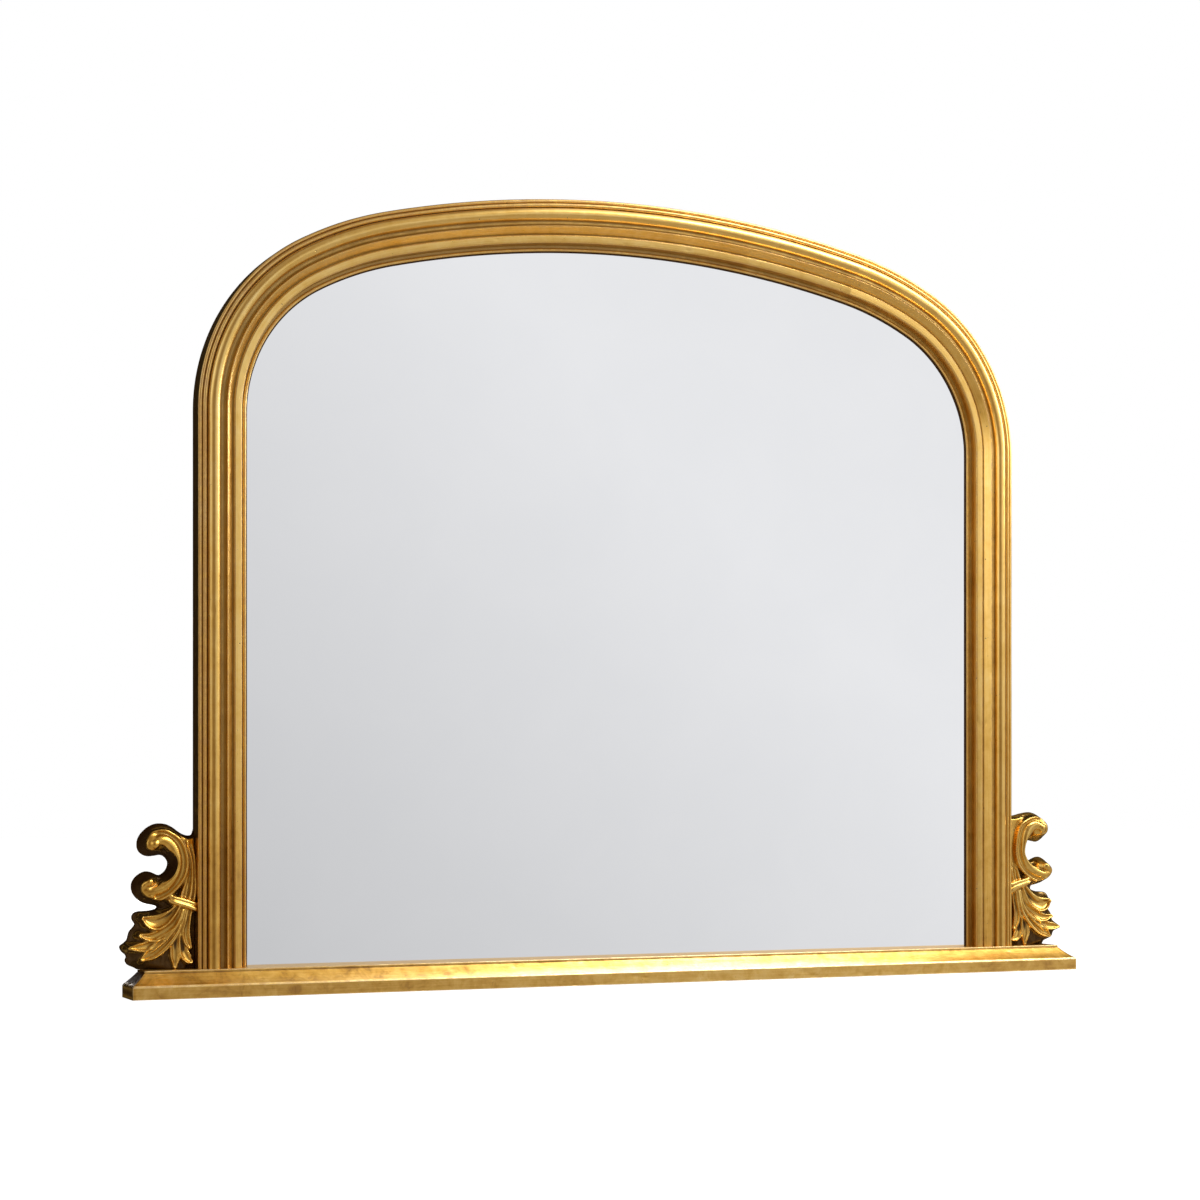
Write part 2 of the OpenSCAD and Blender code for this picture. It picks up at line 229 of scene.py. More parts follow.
# moulding section of the arch: in from the outer edge, out from the back
SEC = Section(
    [[0, 0]] + [[0, 24.6], [0.4, 25.6], [1.1, 26.4], [2.4, 26.8], [3.7, 26.6], [4.4, 25.8], [4.7, 24.5], [5.3, 24.5]]
    + arc(7.9, 26.4, 2.5, 180, 0, 24)
    + [[10.5, 24.8], [11.1, 24.8]]
    + arc(18.9, 26.2, 7.8, 176, 8, 48)
    + [[27, 25.6], [30.8, 25.8], [32.3, 27.4], [33.2, 30.4], [33.9, 31.3], [34.5, 31.2], [38.2, 26.5], [42.1, 22],
       [42.7, 22.4], [43.5, 23.9], [44.8, 24.6], [48.5, 24.2], [51.6, 23.7], [52.8, 23.3], [53.2, 22.5], [53.5, 11],
       [54.1, 9.7], [57.2, 9.5]]
    + arc(59.5, 9.6, 2.2, 172, 30, 20)
    + [[62, 9.9], [63, 8.9], [63, 8], [54, 8], [54, 0]],
    0.22, 0.8, 6.0, lambda p: p[1] < 0.3 or (p[0] > 53.7 and p[1] < 8.4 and p[0] < 62.6))
# the sight edge is left dark
SEC.crest = np.where((SEC.p[:, 0] > 61.2) & (SEC.p[:, 1] > 7), -1.0, SEC.crest)
SEC.high = np.where((SEC.p[:, 0] > 61.2) & (SEC.p[:, 1] > 7), -1.6, SEC.high)

RISE = BASE_H - FASCIA
PLINTH = Section(
    [[0, 0], [0, FASCIA - 0.8], [0.8, FASCIA], [1.8, FASCIA + 1.2]]
    + [[1.8 + 15.2 * i / 24, FASCIA + 1.2 + 0.74 * RISE * (0.75 * i / 24 + 0.25 * (i / 24) ** 2)] for i in range(1, 25)]
    + [[17.6, 28.78], [17.6, 31.4], [18.2, 32], [20, 32], [20, 0]],
    0.24, 0.8, 6.0, lambda p: p[1] < 0.3 or p[0] > 19.8)


# ---------------------------------------------------------------- path of the arch
LEN = [SPRING - BASE_H, R1 * math.radians(T1), R2 * math.radians(T2 - T1), R3 * math.radians(180 - 2 * T2)]
STOPS = np.cumsum([0, LEN[0], LEN[1], LEN[2], LEN[3], LEN[2], LEN[1], LEN[0]])


def arch_at(L):
    """Outer edge point and inward direction, both in x and z, at distance L from the left foot."""
    L = np.asarray(L, float)
    P, N = np.zeros((len(L), 2)), np.zeros((len(L), 2))
    total = STOPS[-1]
    left = L <= total / 2
    l = np.where(left, L, total - L)
    t = np.zeros(len(L))
    for i, x in enumerate(l):
        if x <= STOPS[1]:
            P[i] = (A, BASE_H + x)
            N[i] = (-1, 0)
            continue
        if x <= STOPS[2]:
            a, c, r = math.degrees((x - STOPS[1]) / R1), (C1X, SPRING), R1
        elif x <= STOPS[3]:
            a, c, r = T1 + math.degrees((x - STOPS[2]) / R2), (C2X, C2Z), R2
        else:
            a, c, r = T2 + math.degrees((x - STOPS[3]) / R3), (0.0, C3Z), R3
        P[i] = (c[0] + r * cosd(a), c[1] + r * sind(a))
        N[i] = (-cosd(a), -sind(a))
    P[left, 0] *= -1
    N[left, 0] *= -1
    return P, N


# knocks and dents along the arch: place, section place, size, depth
rng = np.random.default_rng(11)
DENTS = [(rng.uniform(40, STOPS[-1] - 40), rng.uniform(2, 118), rng.uniform(1.6, 4.2), rng.uniform(0.1, 0.34)) for _ in range(90)]


def arch_relief(L, sec):
    """Hand-finished unevenness of the gesso, in millimetres, never proud of the section by much."""
    LL, SS = np.meshgrid(L, sec.arc, indexing="ij")
    d = 0.07 * wave(LL / 95, SS / 26, 3) + 0.05 * wave(LL / 31, SS / 9, 4) + 0.03 * wave(LL / 11, SS / 4, 5) - 0.08
    for (l, s, r, dep) in DENTS:
        i0, i1 = np.searchsorted(L, [l - 3 * r, l + 3 * r])
        if i1 <= i0:
            continue
        sub = (LL[i0:i1] - l) ** 2 / (r * r * 1.8) + (SS[i0:i1] - s) ** 2 / (r * r * 0.5)
        d[i0:i1] -= dep * np.exp(-sub)
    return d * np.where(sec.back, 0.15, 1.0)[None, :]


def sweep_arch(name, k, mats):
    """One piece of the arch between two stops."""
    L0, L1 = STOPS[k], STOPS[k + 1]
    n = max(8, int((L1 - L0) / (2.2)))
    L = np.linspace(L0, L1, n + 1)
    P, N = arch_at(np.clip(L, L0 + 1e-9, L1 - 1e-9))
    d = arch_relief(L, SEC)
    s = SEC.p[None, :, 0] + d * SEC.n[None, :, 0]
    h = SEC.p[None, :, 1] + d * SEC.n[None, :, 1]
    s = np.maximum(s, 0.04)
    h = np.maximum(h, 0.0)
    V = np.stack([P[:, None, 0] + s * N[:, None, 0], YB - h, P[:, None, 1] + s * N[:, None, 1]], -1)
    V[..., 2] = np.minimum(V[..., 2], 969.93)
    m = SEC.m
    i, j = np.meshgrid(np.arange(n), np.arange(m), indexing="ij")
    jn = (j + 1) % m
    quads = np.stack([i * m + j, i * m + jn, (i + 1) * m + jn, (i + 1) * m + j], -1).reshape(-1, 4)
    caps = [list(range(m)), list(range(n * m, n * m + m))[::-1]]
    flow = np.stack([np.repeat(L[:, None], m, 1), np.repeat(SEC.arc[None, :], n + 1, 0), np.full((n + 1, m), 0.0)], -1) * MM
    back = (SEC.back[j] & SEC.back[jn]).reshape(-1)
    crest = np.repeat(SEC.crest[None, :], n + 1, 0)
    high = np.repeat(SEC.high[None, :], n + 1, 0)
    # painted shade: the outer bead and fillet of the right stile below the bend are darkened through high and crest
    right_foot_shade = sstep(300, 480, V[..., 0]) * sstep(820, 640, V[..., 2]) * ((SEC.p[:, 0] < 9.5) & (SEC.p[:, 1] > 20))[None, :]
    high = high - 1.15 * right_foot_shade
    crest = crest - 0.8 * right_foot_shade
    ob = make_mesh(name, V.reshape(-1, 3), quads, caps,
                   {"flow": flow.reshape(-1, 3), "crest": crest.ravel(), "high": high.ravel()},
                   mats, np.where(back, 1, 0), 38)
    return ob


def sweep_plinth(name, which, mats):
    """Front moulding (which 0) or a return (-1 left, 1 right), mitred at the front corners."""
    m = PLINTH.m
    d0, z0 = PLINTH.p[:, 0], PLINTH.p[:, 1]
    half = BASE_W / 2
    if which == 0:
        n = int(BASE_W / (2.4))
        tau = np.linspace(-1, 1, n + 1)
        # spacing of the rings towards the mitres: with the power at 1.0 it stays even
        tau = np.sign(tau) * (1 - (1 - np.abs(tau)) ** 1.0)
        u = tau[:, None] * (half - d0[None, :])
        edge = (half - d0[None, :]) - np.abs(u)
        side = np.sign(tau)[:, None]
    else:
        n = 44
        tau = np.linspace(0, 1, n + 1) ** 1.3
        u = (-YB + d0[None, :]) + tau[:, None] * (2 * YB - d0[None, :])
        edge = u - (-YB + d0[None, :])
        side = np.full((n + 1, 1), float(which))
    SS = np.repeat(PLINTH.arc[None, :], n + 1, 0)
    lu = u if which == 0 else which * (half + YB + u)
    relief = 0.07 * wave(lu / 85, SS / 20, 8) + 0.05 * wave(lu / 27, SS / 8, 9) + 0.03 * wave(lu / 9, SS / 4, 10) - 0.1
    r2 = np.random.default_rng(23 + which)
    for _ in range(60 if which == 0 else 6):
        l, s, r, dep = r2.uniform(-620, 620) if which == 0 else which * r2.uniform(half + 6, half + 50), r2.uniform(2, 52), r2.uniform(1.8, 4.0), r2.uniform(0.12, 0.38)
        relief -= dep * np.exp(-((lu - l) ** 2 / (r * r * 1.8) + (SS - s) ** 2 / (r * r * 0.5)))
    f = np.clip(edge / 7.0, 0, 1)
    relief *= f * f * (3 - 2 * f) * np.where(PLINTH.back, 0.1, 1.0)[None, :]
    dd = np.maximum(d0[None, :] + relief * PLINTH.n[None, :, 0], 0.0)
    zz = np.maximum(z0[None, :] + relief * PLINTH.n[None, :, 1], 0.0)
    # worn arris at the mitre
    worn = 0.45 * np.exp(-edge / 0.9) * np.where(PLINTH.back, 0.0, 1.0)[None, :]
    if which == 0:
        X = u - side * worn
        Y = -YB + dd + worn
    else:
        X = which * (half - dd - worn)
        Y = u + worn
    V = np.stack([X, Y, zz], -1)
    i, j = np.meshgrid(np.arange(n), np.arange(m), indexing="ij")
    jn = (j + 1) % m
    quads = np.stack([i * m + j, i * m + jn, (i + 1) * m + jn, (i + 1) * m + j], -1).reshape(-1, 4)
    caps = [list(range(m)), list(range(n * m, n * m + m))[::-1]]
    flow = np.stack([lu + 4000, SS, np.zeros_like(SS)], -1) * MM
    # painted highlight, partly rubbed wear: crest raised on the mitre arrises, the fascia's top edge and the front
    # corner, which lightens them
    crest = np.repeat(PLINTH.crest[None, :], n + 1, 0) + 1.1 * np.exp(-edge / 1.2)
    rubbed_highlight_line = (d0 < 1.7) & (z0 > 14.7) & (z0 < 17.4)
    crest = np.where(rubbed_highlight_line[None, :], 1.0, crest)
    crest = np.where((edge < 1.6) & (d0 < 1.5)[None, :] & (z0 > 1.5)[None, :], 1.0, crest)
    high = np.repeat(PLINTH.high[None, :], n + 1, 0)
    if which < 0:
        # painted shade on the left end, but for its front corner
        end_shade = sstep(0.8, 3.5, edge)
        high = high - 1.45 * end_shade
        crest = crest - 0.7 * end_shade
    back = (PLINTH.back[j] & PLINTH.back[jn]).reshape(-1)
    return make_mesh(name, V.reshape(-1, 3), quads, caps,
                     {"flow": flow.reshape(-1, 3), "crest": np.clip(crest, -1, 1).ravel(), "high": high.ravel()},
                     mats, np.where(back, 1, 0), 38)


# ---------------------------------------------------------------- node helpers
class Tree:
    """Short way to write a node material."""

    def __init__(s, name):
        s.mat = bpy.data.materials.new(name)
        s.mat.use_nodes = True
        s.nt = s.mat.node_tree
        s.nt.nodes.clear()
        s.out = s.nt.nodes.new("ShaderNodeOutputMaterial")
        s.bsdf = s.nt.nodes.new("ShaderNodeBsdfPrincipled")
        s.nt.links.new(s.bsdf.outputs[0], s.out.inputs["Surface"])

    def put(s, sock, val):
        if hasattr(val, "is_output"):
            s.nt.links.new(val, sock)
        elif val is not None:
            sock.default_value = val

    def math(s, op, a, b=None, c=None, clamp=False):
        n = s.nt.nodes.new("ShaderNodeMath")
        n.operation = op
        n.use_clamp = clamp
        s.put(n.inputs[0], a)
        s.put(n.inputs[1], b)
        s.put(n.inputs[2], c)
        return n.outputs[0]

    def remap(s, v, a, b, c=0.0, d=1.0, smooth=True):
        n = s.nt.nodes.new("ShaderNodeMapRange")
        n.interpolation_type = "SMOOTHSTEP" if smooth else "LINEAR"
        s.put(n.inputs["Value"], v)
        n.inputs["From Min"].default_value, n.inputs["From Max"].default_value = a, b
        n.inputs["To Min"].default_value, n.inputs["To Max"].default_value = c, d
        return n.outputs["Result"]

    def attr(s, name, out="Fac"):
        n = s.nt.nodes.new("ShaderNodeAttribute")
        n.attribute_name = name
        return n.outputs[out]

    def coord(s, kind="Object"):
        return s.nt.nodes.new("ShaderNodeTexCoord").outputs[kind]

    def scaled(s, vec, x, y, z, off=(0, 0, 0)):
        n = s.nt.nodes.new("ShaderNodeMapping")
        n.inputs["Scale"].default_value = (x, y, z)
        n.inputs["Location"].default_value = off
        s.put(n.inputs["Vector"], vec)
        return n.outputs[0]

    def noise(s, vec, scale=1.0, detail=3.0, rough=0.55, dist=0.0, out="Fac"):
        n = s.nt.nodes.new("ShaderNodeTexNoise")
        s.put(n.inputs["Vector"], vec)
        n.inputs["Scale"].default_value = scale
        n.inputs["Detail"].default_value = detail
        n.inputs["Roughness"].default_value = rough
        n.inputs["Distortion"].default_value = dist
        return n.outputs[out]

    def voronoi(s, vec, scale, feature="F1", out="Distance", rand=1.0):
        n = s.nt.nodes.new("ShaderNodeTexVoronoi")
        n.feature = feature
        s.put(n.inputs["Vector"], vec)
        n.inputs["Scale"].default_value = scale
        n.inputs["Randomness"].default_value = rand
        return n.outputs[out]

    def ramp(s, fac, stops):
        n = s.nt.nodes.new("ShaderNodeValToRGB")
        el = n.color_ramp.elements
        el[0].position, el[0].color = stops[0][0], (*stops[0][1], 1)
        el[1].position, el[1].color = stops[-1][0], (*stops[-1][1], 1)
        for p, c in stops[1:-1]:
            e = el.new(p)
            e.color = (*c, 1)
        s.put(n.inputs[0], fac)
        return n.outputs[0]

    def mix(s, fac, a, b, kind="MIX"):
        n = s.nt.nodes.new("ShaderNodeMix")
        n.data_type = "RGBA"
        n.blend_type = kind
        s.put(n.inputs["Factor"], fac)
        s.put(n.inputs["A"], (*a, 1) if isinstance(a, tuple) else a)
        s.put(n.inputs["B"], (*b, 1) if isinstance(b, tuple) else b)
        # the colour sockets come after the float and vector ones
        for sock, val in ((n.inputs[6], a), (n.inputs[7], b)):
            s.put(sock, (*val, 1) if isinstance(val, tuple) else val)
        return n.outputs[2]

    def bump(s, height, strength=0.3, distance=0.0005, normal=None):
        n = s.nt.nodes.new("ShaderNodeBump")
        n.inputs["Strength"].default_value = strength
        n.inputs["Distance"].default_value = distance
        s.put(n.inputs["Height"], height)
        s.put(n.inputs["Normal"], normal)
        return n.outputs[0]

    def set(s, **kw):
        for k, v in kw.items():
            s.put(s.bsdf.inputs[k.replace("_", " ")], v)
        return s.mat


GOLD_STOPS = [(0.0, (0.46, 0.225, 0.022)), (0.25, (0.66, 0.370, 0.052)), (0.5, (0.80, 0.500, 0.110)),
              (0.74, (0.87, 0.600, 0.190)), (1.0, (0.95, 0.740, 0.350))]


def gilt(name, swept=True, dirt_and_shade=1.0, rough=0.32, tone=0.0, burnish_highlight_gain=0.0, blot=0.0):
    """Water gilding over red-brown clay: streaked along the moulding, darker in the hollows with grime and painted
    shade, rubbed on the arrises, lighter on the crests with painted highlight.
    """
    t = Tree(name)
    ob = t.coord("Object")
    crest = t.attr("crest")
    high = t.attr("high")
    if swept:
        flow = t.attr("flow", "Vector")
        streak = t.noise(t.scaled(flow, 13, 520, 1), 1.0, 4, 0.62, 0.15)
        fine = t.noise(t.scaled(flow, 60, 2100, 1), 1.0, 2, 0.5)
        laps = t.scaled(flow, 12.4, 0.0, 0.0)
        wob = t.noise(t.scaled(flow, 3, 40, 1), 1.0, 2, 0.5)
        sep = t.nt.nodes.new("ShaderNodeSeparateXYZ")
        t.put(sep.inputs[0], laps)
        leaf = t.math("FLOOR", t.math("ADD", sep.outputs[0], t.math("MULTIPLY", wob, 0.5)))
        wn = t.nt.nodes.new("ShaderNodeTexWhiteNoise")
        wn.noise_dimensions = "1D"
        t.put(wn.inputs["W"], leaf)
        leaf_tone = wn.outputs["Value"]
    else:
        streak = t.noise(ob, 170, 4, 0.6, 0.2)
        fine = t.noise(ob, 620, 2, 0.5)
        leaf_tone = t.noise(ob, 26, 1, 0.4)
    patch = t.noise(ob, 15, 4, 0.6, 0.3)
    mottle = t.noise(ob, 120, 4, 0.6)
    grain = t.noise(ob, 900, 2, 0.5)
    v = t.math("MULTIPLY_ADD", streak, 0.62, -0.31 + 0.52 + tone)
    v = t.math("MULTIPLY_ADD", patch, 0.50, t.math("SUBTRACT", v, 0.25))
    v = t.math("MULTIPLY_ADD", mottle, 0.34, t.math("SUBTRACT", v, 0.17))
    v = t.math("MULTIPLY_ADD", fine, 0.16, t.math("SUBTRACT", v, 0.08))
    v = t.math("MULTIPLY_ADD", leaf_tone, 0.08, t.math("SUBTRACT", v, 0.04))
    # crests lighter: worn arrises, and painted highlight
    v = t.math("MULTIPLY_ADD", crest, 0.10 if swept else 0.20, v)
    smudge = t.noise(ob, 46, 4, 0.65, 0.5)
    v = t.math("MULTIPLY_ADD", smudge, -1.1 * blot, t.math("ADD", v, 0.55 * blot))
    # painted shade: darker and browner towards the foot, most on the left
    place = t.nt.nodes.new("ShaderNodeSeparateXYZ")
    t.put(place.inputs[0], ob)
    lower_left_shade = t.math("MULTIPLY", t.remap(place.outputs[2], 0.42, 0.04), t.remap(place.outputs[0], 0.1, -0.5))
    lower_left_shade = t.math("MULTIPLY", lower_left_shade, t.remap(place.outputs[2], 0.022, 0.05, 0.55, 1.0))
    v = t.math("MULTIPLY_ADD", lower_left_shade, -0.34 if swept else -0.08, v)
    # lighter gold on the left bend; painted shade on the left scroll
    if swept:
        clean = t.math("MULTIPLY", t.remap(place.outputs[2], 0.50, 0.72), t.remap(place.outputs[0], -0.25, -0.45))
        v = t.math("MULTIPLY_ADD", clean, 0.10, v)
    else:
        brown = t.math("MULTIPLY", t.remap(place.outputs[2], 0.095, 0.145), t.remap(place.outputs[0], -0.4, -0.5))
        v = t.math("MULTIPLY_ADD", brown, -0.17, v)
    # painted shade: darker towards the foot of the right stile
    foot = t.math("MULTIPLY", t.remap(place.outputs[2], 0.45, 0.05), t.remap(place.outputs[0], 0.35, 0.55))
    v = t.math("MULTIPLY_ADD", foot, -0.16 if swept else 0.0, v)
    # burnished arrises lighter, partly painted highlight
    burnish_highlight = t.remap(crest, 0.55, 1.0)
    v = t.math("MULTIPLY_ADD", burnish_highlight, burnish_highlight_gain, v)
    colour = t.ramp(v, GOLD_STOPS)
    # grime in the hollows, and painted shade there
    g = t.math("MULTIPLY_ADD", t.math("ADD", mottle, streak), 0.55, t.math("MULTIPLY", crest, -0.75))
    g = t.math("MULTIPLY_ADD", high, -0.28 if swept else -0.42, g)
    g = t.math("MULTIPLY_ADD", lower_left_shade, 0.18, g)
    if not swept:
        g = t.math("MULTIPLY_ADD", brown, 0.12, g)
    g = t.math("MULTIPLY_ADD", smudge, 2.0 * blot, t.math("SUBTRACT", g, blot))
    # painted shade: more on the left side, less on the right
    if swept:
        g = t.math("ADD", g, t.remap(place.outputs[0], -0.5, 0.5, 0.10, -0.24))
    grime_and_shade = t.math("MULTIPLY", t.remap(g, 0.74, 1.42), 0.62 * dirt_and_shade, clamp=True)
    # painted shade, near black, where high is set far below any hollow: walls and ground of the carvings, the left
    # plinth end; the dark sight edge as well
    shade_and_dark_edge = t.math("MULTIPLY", t.remap(high, -1.05, -1.5), t.math("MULTIPLY_ADD", mottle, -0.35, 1.1), clamp=True)
    grime_and_shade = t.math("MAXIMUM", grime_and_shade, t.math("MULTIPLY", shade_and_dark_edge, 0.95))
    # red clay showing through on the arrises
    rub = t.math("MULTIPLY_ADD", mottle, 0.9, t.math("MULTIPLY", crest, 0.55))
    rub = t.math("MULTIPLY_ADD", grain, 0.35, rub)
    rubbed = t.math("MULTIPLY", t.remap(rub, 1.04, 1.27), 0.42 if swept else 0.12, clamp=True)
    # dark specks
    cell = t.voronoi(ob, 78)
    pick = t.voronoi(ob, 78, out="Color")
    sp = t.nt.nodes.new("ShaderNodeSeparateColor")
    t.put(sp.inputs[0], pick)
    speck = t.math("MULTIPLY", t.remap(cell, 0.075, 0.045), t.math("GREATER_THAN", sp.outputs[0], 0.80))
    cell2 = t.voronoi(t.scaled(ob, 1, 1, 1, (3.1, 1.7, 0.3)), 210)
    pick2 = t.voronoi(t.scaled(ob, 1, 1, 1, (3.1, 1.7, 0.3)), 210, out="Color")
    sp2 = t.nt.nodes.new("ShaderNodeSeparateColor")
    t.put(sp2.inputs[0], pick2)
    speck2 = t.math("MULTIPLY", t.remap(cell2, 0.13, 0.07), t.math("GREATER_THAN", sp2.outputs[0], 0.90))
    specks = t.math("MAXIMUM", speck, t.math("MULTIPLY", speck2, 0.7))
    colour = t.mix(rubbed, colour, (0.36, 0.12, 0.035))
    colour = t.mix(grime_and_shade, colour, (0.125, 0.052, 0.007) if swept else (0.115, 0.062, 0.016))
    colour = t.mix(shade_and_dark_edge, colour, (0.030, 0.011, 0.003))
    colour = t.mix(t.math("MULTIPLY", specks, 0.85), colour, (0.035, 0.016, 0.006))
    dull = t.math("MAXIMUM", t.math("MAXIMUM", t.math("MULTIPLY", grime_and_shade, 0.8), t.math("MULTIPLY", rubbed, 0.6)), specks)
    metal = t.math("SUBTRACT", 1.0, t.math("MULTIPLY", dull, 0.7))
    r = t.math("MULTIPLY_ADD", streak, 0.16, rough - 0.08)
    r = t.math("MULTIPLY_ADD", mottle, 0.14, t.math("SUBTRACT", r, 0.07))
    r = t.math("MULTIPLY_ADD", dull, 0.25, r, clamp=True)
    hgt = t.math("MULTIPLY_ADD", streak, 0.5, t.math("MULTIPLY", fine, 0.25))
    hgt = t.math("MULTIPLY_ADD", grain, 0.22, hgt)
    hgt = t.math("MULTIPLY_ADD", mottle, 0.5, hgt)
    hgt = t.math("MULTIPLY_ADD", specks, -2.2, hgt)
    nrm = t.bump(hgt, 0.55, 0.00016)
    open_part = t.math("SUBTRACT", 1.0, t.math("MAXIMUM", shade_and_dark_edge, t.math("MULTIPLY", grime_and_shade, 0.7)))
    return t.set(Base_Color=colour, Metallic=metal, Roughness=r, Normal=nrm, Coat_Weight=t.math("MULTIPLY", open_part, 0.8 if swept else 0.45),
                 Specular_IOR_Level=t.math("MULTIPLY_ADD", open_part, 0.42, 0.08), Coat_Roughness=0.2, Coat_IOR=1.6)


def wood(name, light, dark, scale=1.0, axis=0, rough=0.62):
    t = Tree(name)
    ob = t.coord("Object")
    k = [2.0, 2.0, 2.0]
    for i in range(3):
        if i != axis:
            k[i] = 60.0
    rings = t.noise(t.scaled(ob, *[q * scale for q in k]), 1.0, 5, 0.62, 0.6)
    pores = t.noise(t.scaled(ob, *[q * scale * 9 for q in k]), 1.0, 2, 0.5)
    big = t.noise(ob, 6, 3, 0.5)
    v = t.math("MULTIPLY_ADD", rings, 0.8, t.math("MULTIPLY", big, 0.3))
    c = t.ramp(v, [(0.25, dark), (0.55, tuple((a + b) / 2 for a, b in zip(light, dark))), (0.85, light)])
    c = t.mix(t.remap(pores, 0.62, 0.78), c, tuple(x * 0.45 for x in dark))
    h = t.math("MULTIPLY_ADD", pores, -0.6, rings)
    return t.set(Base_Color=c, Roughness=t.math("MULTIPLY_ADD", pores, 0.2, rough - 0.1), Normal=t.bump(h, 0.5, 0.0003))


def metal(name, colour, rough, tarnish, spots=0.5):
    t = Tree(name)
    ob = t.coord("Object")
    a = t.noise(ob, 900, 3, 0.6)
    b = t.noise(ob, 180, 4, 0.6, 0.4)
    sc = t.noise(t.scaled(ob, 2600, 2600, 260), 1.0, 2, 0.5)
    c = t.mix(t.remap(b, 0.5, 0.5 + 0.4 * spots), colour, tarnish)
    c = t.mix(t.math("MULTIPLY", sc, 0.2), c, tuple(x * 0.7 for x in colour))
    r = t.math("MULTIPLY_ADD", b, 0.25, t.math("MULTIPLY_ADD", a, 0.12, rough - 0.16), clamp=True)
    return t.set(Base_Color=c, Metallic=1.0, Roughness=r, Normal=t.bump(t.math("MULTIPLY_ADD", sc, 0.5, a), 0.35, 0.00006))


def rubber(name, colour):
    t = Tree(name)
    ob = t.coord("Object")
    a = t.noise(ob, 1500, 3, 0.6)
    b = t.noise(ob, 130, 3, 0.5)
    c = t.ramp(t.math("MULTIPLY_ADD", b, 0.8, t.math("MULTIPLY", a, 0.2)), [(0.2, tuple(x * 0.7 for x in colour)), (0.8, tuple(x * 1.35 for x in colour))])
    return t.set(Base_Color=c, Roughness=t.math("MULTIPLY_ADD", a, 0.2, 0.55), Normal=t.bump(a, 0.4, 0.00008))


def board(name):
    """Brown hardboard with a fine mesh of fibres."""
    t = Tree(name)
    ob = t.coord("Object")
    a = t.noise(ob, 700, 4, 0.7)
    b = t.noise(t.scaled(ob, 300, 300, 90), 1.0, 3, 0.6, 1.0)
    big = t.noise(ob, 5, 3, 0.5)
    v = t.math("MULTIPLY_ADD", a, 0.35, t.math("MULTIPLY_ADD", b, 0.35, t.math("MULTIPLY", big, 0.35)))
    c = t.ramp(v, [(0.3, (0.085, 0.042, 0.018)), (0.5, (0.16, 0.085, 0.038)), (0.75, (0.25, 0.15, 0.075))])
    return t.set(Base_Color=c, Roughness=t.math("MULTIPLY_ADD", a, 0.25, 0.55), Normal=t.bump(t.math("MULTIPLY_ADD", a, 0.6, b), 0.5, 0.00015))


def silvered():
    """Plain silvered glass, with the faint haze and pinpoints of a clean old plate."""
    t = Tree("silvered_glass")
    ob = t.coord("Object")
    haze = t.noise(ob, 7, 4, 0.55, 0.4)
    dust = t.noise(ob, 260, 3, 0.6)
    ripple = t.noise(t.scaled(ob, 4.2, 1.0, 6.5), 1.0, 2, 0.4)
    c = t.ramp(haze, [(0.3, (0.872, 0.878, 0.888)), (0.7, (0.892, 0.896, 0.904))])
    r = t.math("MULTIPLY_ADD", dust, 0.012, t.math("MULTIPLY", haze, 0.012))
    return t.set(Base_Color=c, Metallic=1.0, Roughness=r, Normal=t.bump(ripple, 0.05, 0.0006))


def glass_back():
    t = Tree("mirror_backing_paint")
    ob = t.coord("Object")
    a = t.noise(t.scaled(ob, 30, 1, 400), 1.0, 4, 0.6)
    b = t.noise(ob, 500, 3, 0.6)
    c = t.ramp(t.math("MULTIPLY_ADD", a, 0.7, t.math("MULTIPLY", b, 0.3)), [(0.3, (0.10, 0.115, 0.12)), (0.7, (0.19, 0.21, 0.215))])
    return t.set(Base_Color=c, Roughness=t.math("MULTIPLY_ADD", b, 0.2, 0.42), Normal=t.bump(b, 0.3, 0.00006))


def core_mat():
    """The plinth board: bare wood, gilded on the strip of its top that shows."""
    t = Tree("plinth_board")
    ob = t.coord("Object")
    geo = t.nt.nodes.new("ShaderNodeNewGeometry")
    sn = t.nt.nodes.new("ShaderNodeSeparateXYZ")
    t.put(sn.inputs[0], geo.outputs["Normal"])
    so = t.nt.nodes.new("ShaderNodeSeparateXYZ")
    t.put(so.inputs[0], ob)
    streak = t.noise(t.scaled(ob, 13, 520, 520), 1.0, 4, 0.62, 0.15)
    patch = t.noise(ob, 15, 4, 0.6, 0.3)
    mottle = t.noise(ob, 120, 4, 0.6)
    grain = t.noise(ob, 900, 2, 0.5)
    v = t.math("MULTIPLY_ADD", streak, 0.6, -0.30 + 0.50)
    v = t.math("MULTIPLY_ADD", patch, 0.5, t.math("SUBTRACT", v, 0.25))
    v = t.math("MULTIPLY_ADD", mottle, 0.34, t.math("SUBTRACT", v, 0.17))
    gold = t.ramp(v, GOLD_STOPS)
    rings = t.noise(t.scaled(ob, 2, 60, 60), 1.0, 5, 0.62, 0.6)
    pores = t.noise(t.scaled(ob, 18, 540, 540), 1.0, 2, 0.5)
    bare = t.ramp(rings, [(0.3, (0.30, 0.17, 0.075)), (0.7, (0.52, 0.34, 0.17))])
    bare = t.mix(t.remap(pores, 0.62, 0.78), bare, (0.14, 0.075, 0.03))
    top = t.remap(sn.outputs[2], 0.6, 0.8)
    front = t.remap(t.math("MULTIPLY_ADD", mottle, 0.004, so.outputs[1]), 0.0225, 0.0195)
    isgold = t.math("MULTIPLY", top, front)
    c = t.mix(isgold, bare, gold)
    rr = t.math("MULTIPLY_ADD", isgold, -0.32, t.math("MULTIPLY_ADD", mottle, 0.2, 0.56))
    h = t.math("MULTIPLY_ADD", grain, 0.3, t.math("MULTIPLY_ADD", mottle, 0.5, t.math("MULTIPLY", rings, 0.4)))
    return t.set(Base_Color=c, Metallic=isgold, Roughness=rr, Normal=t.bump(h, 0.5, 0.00016))


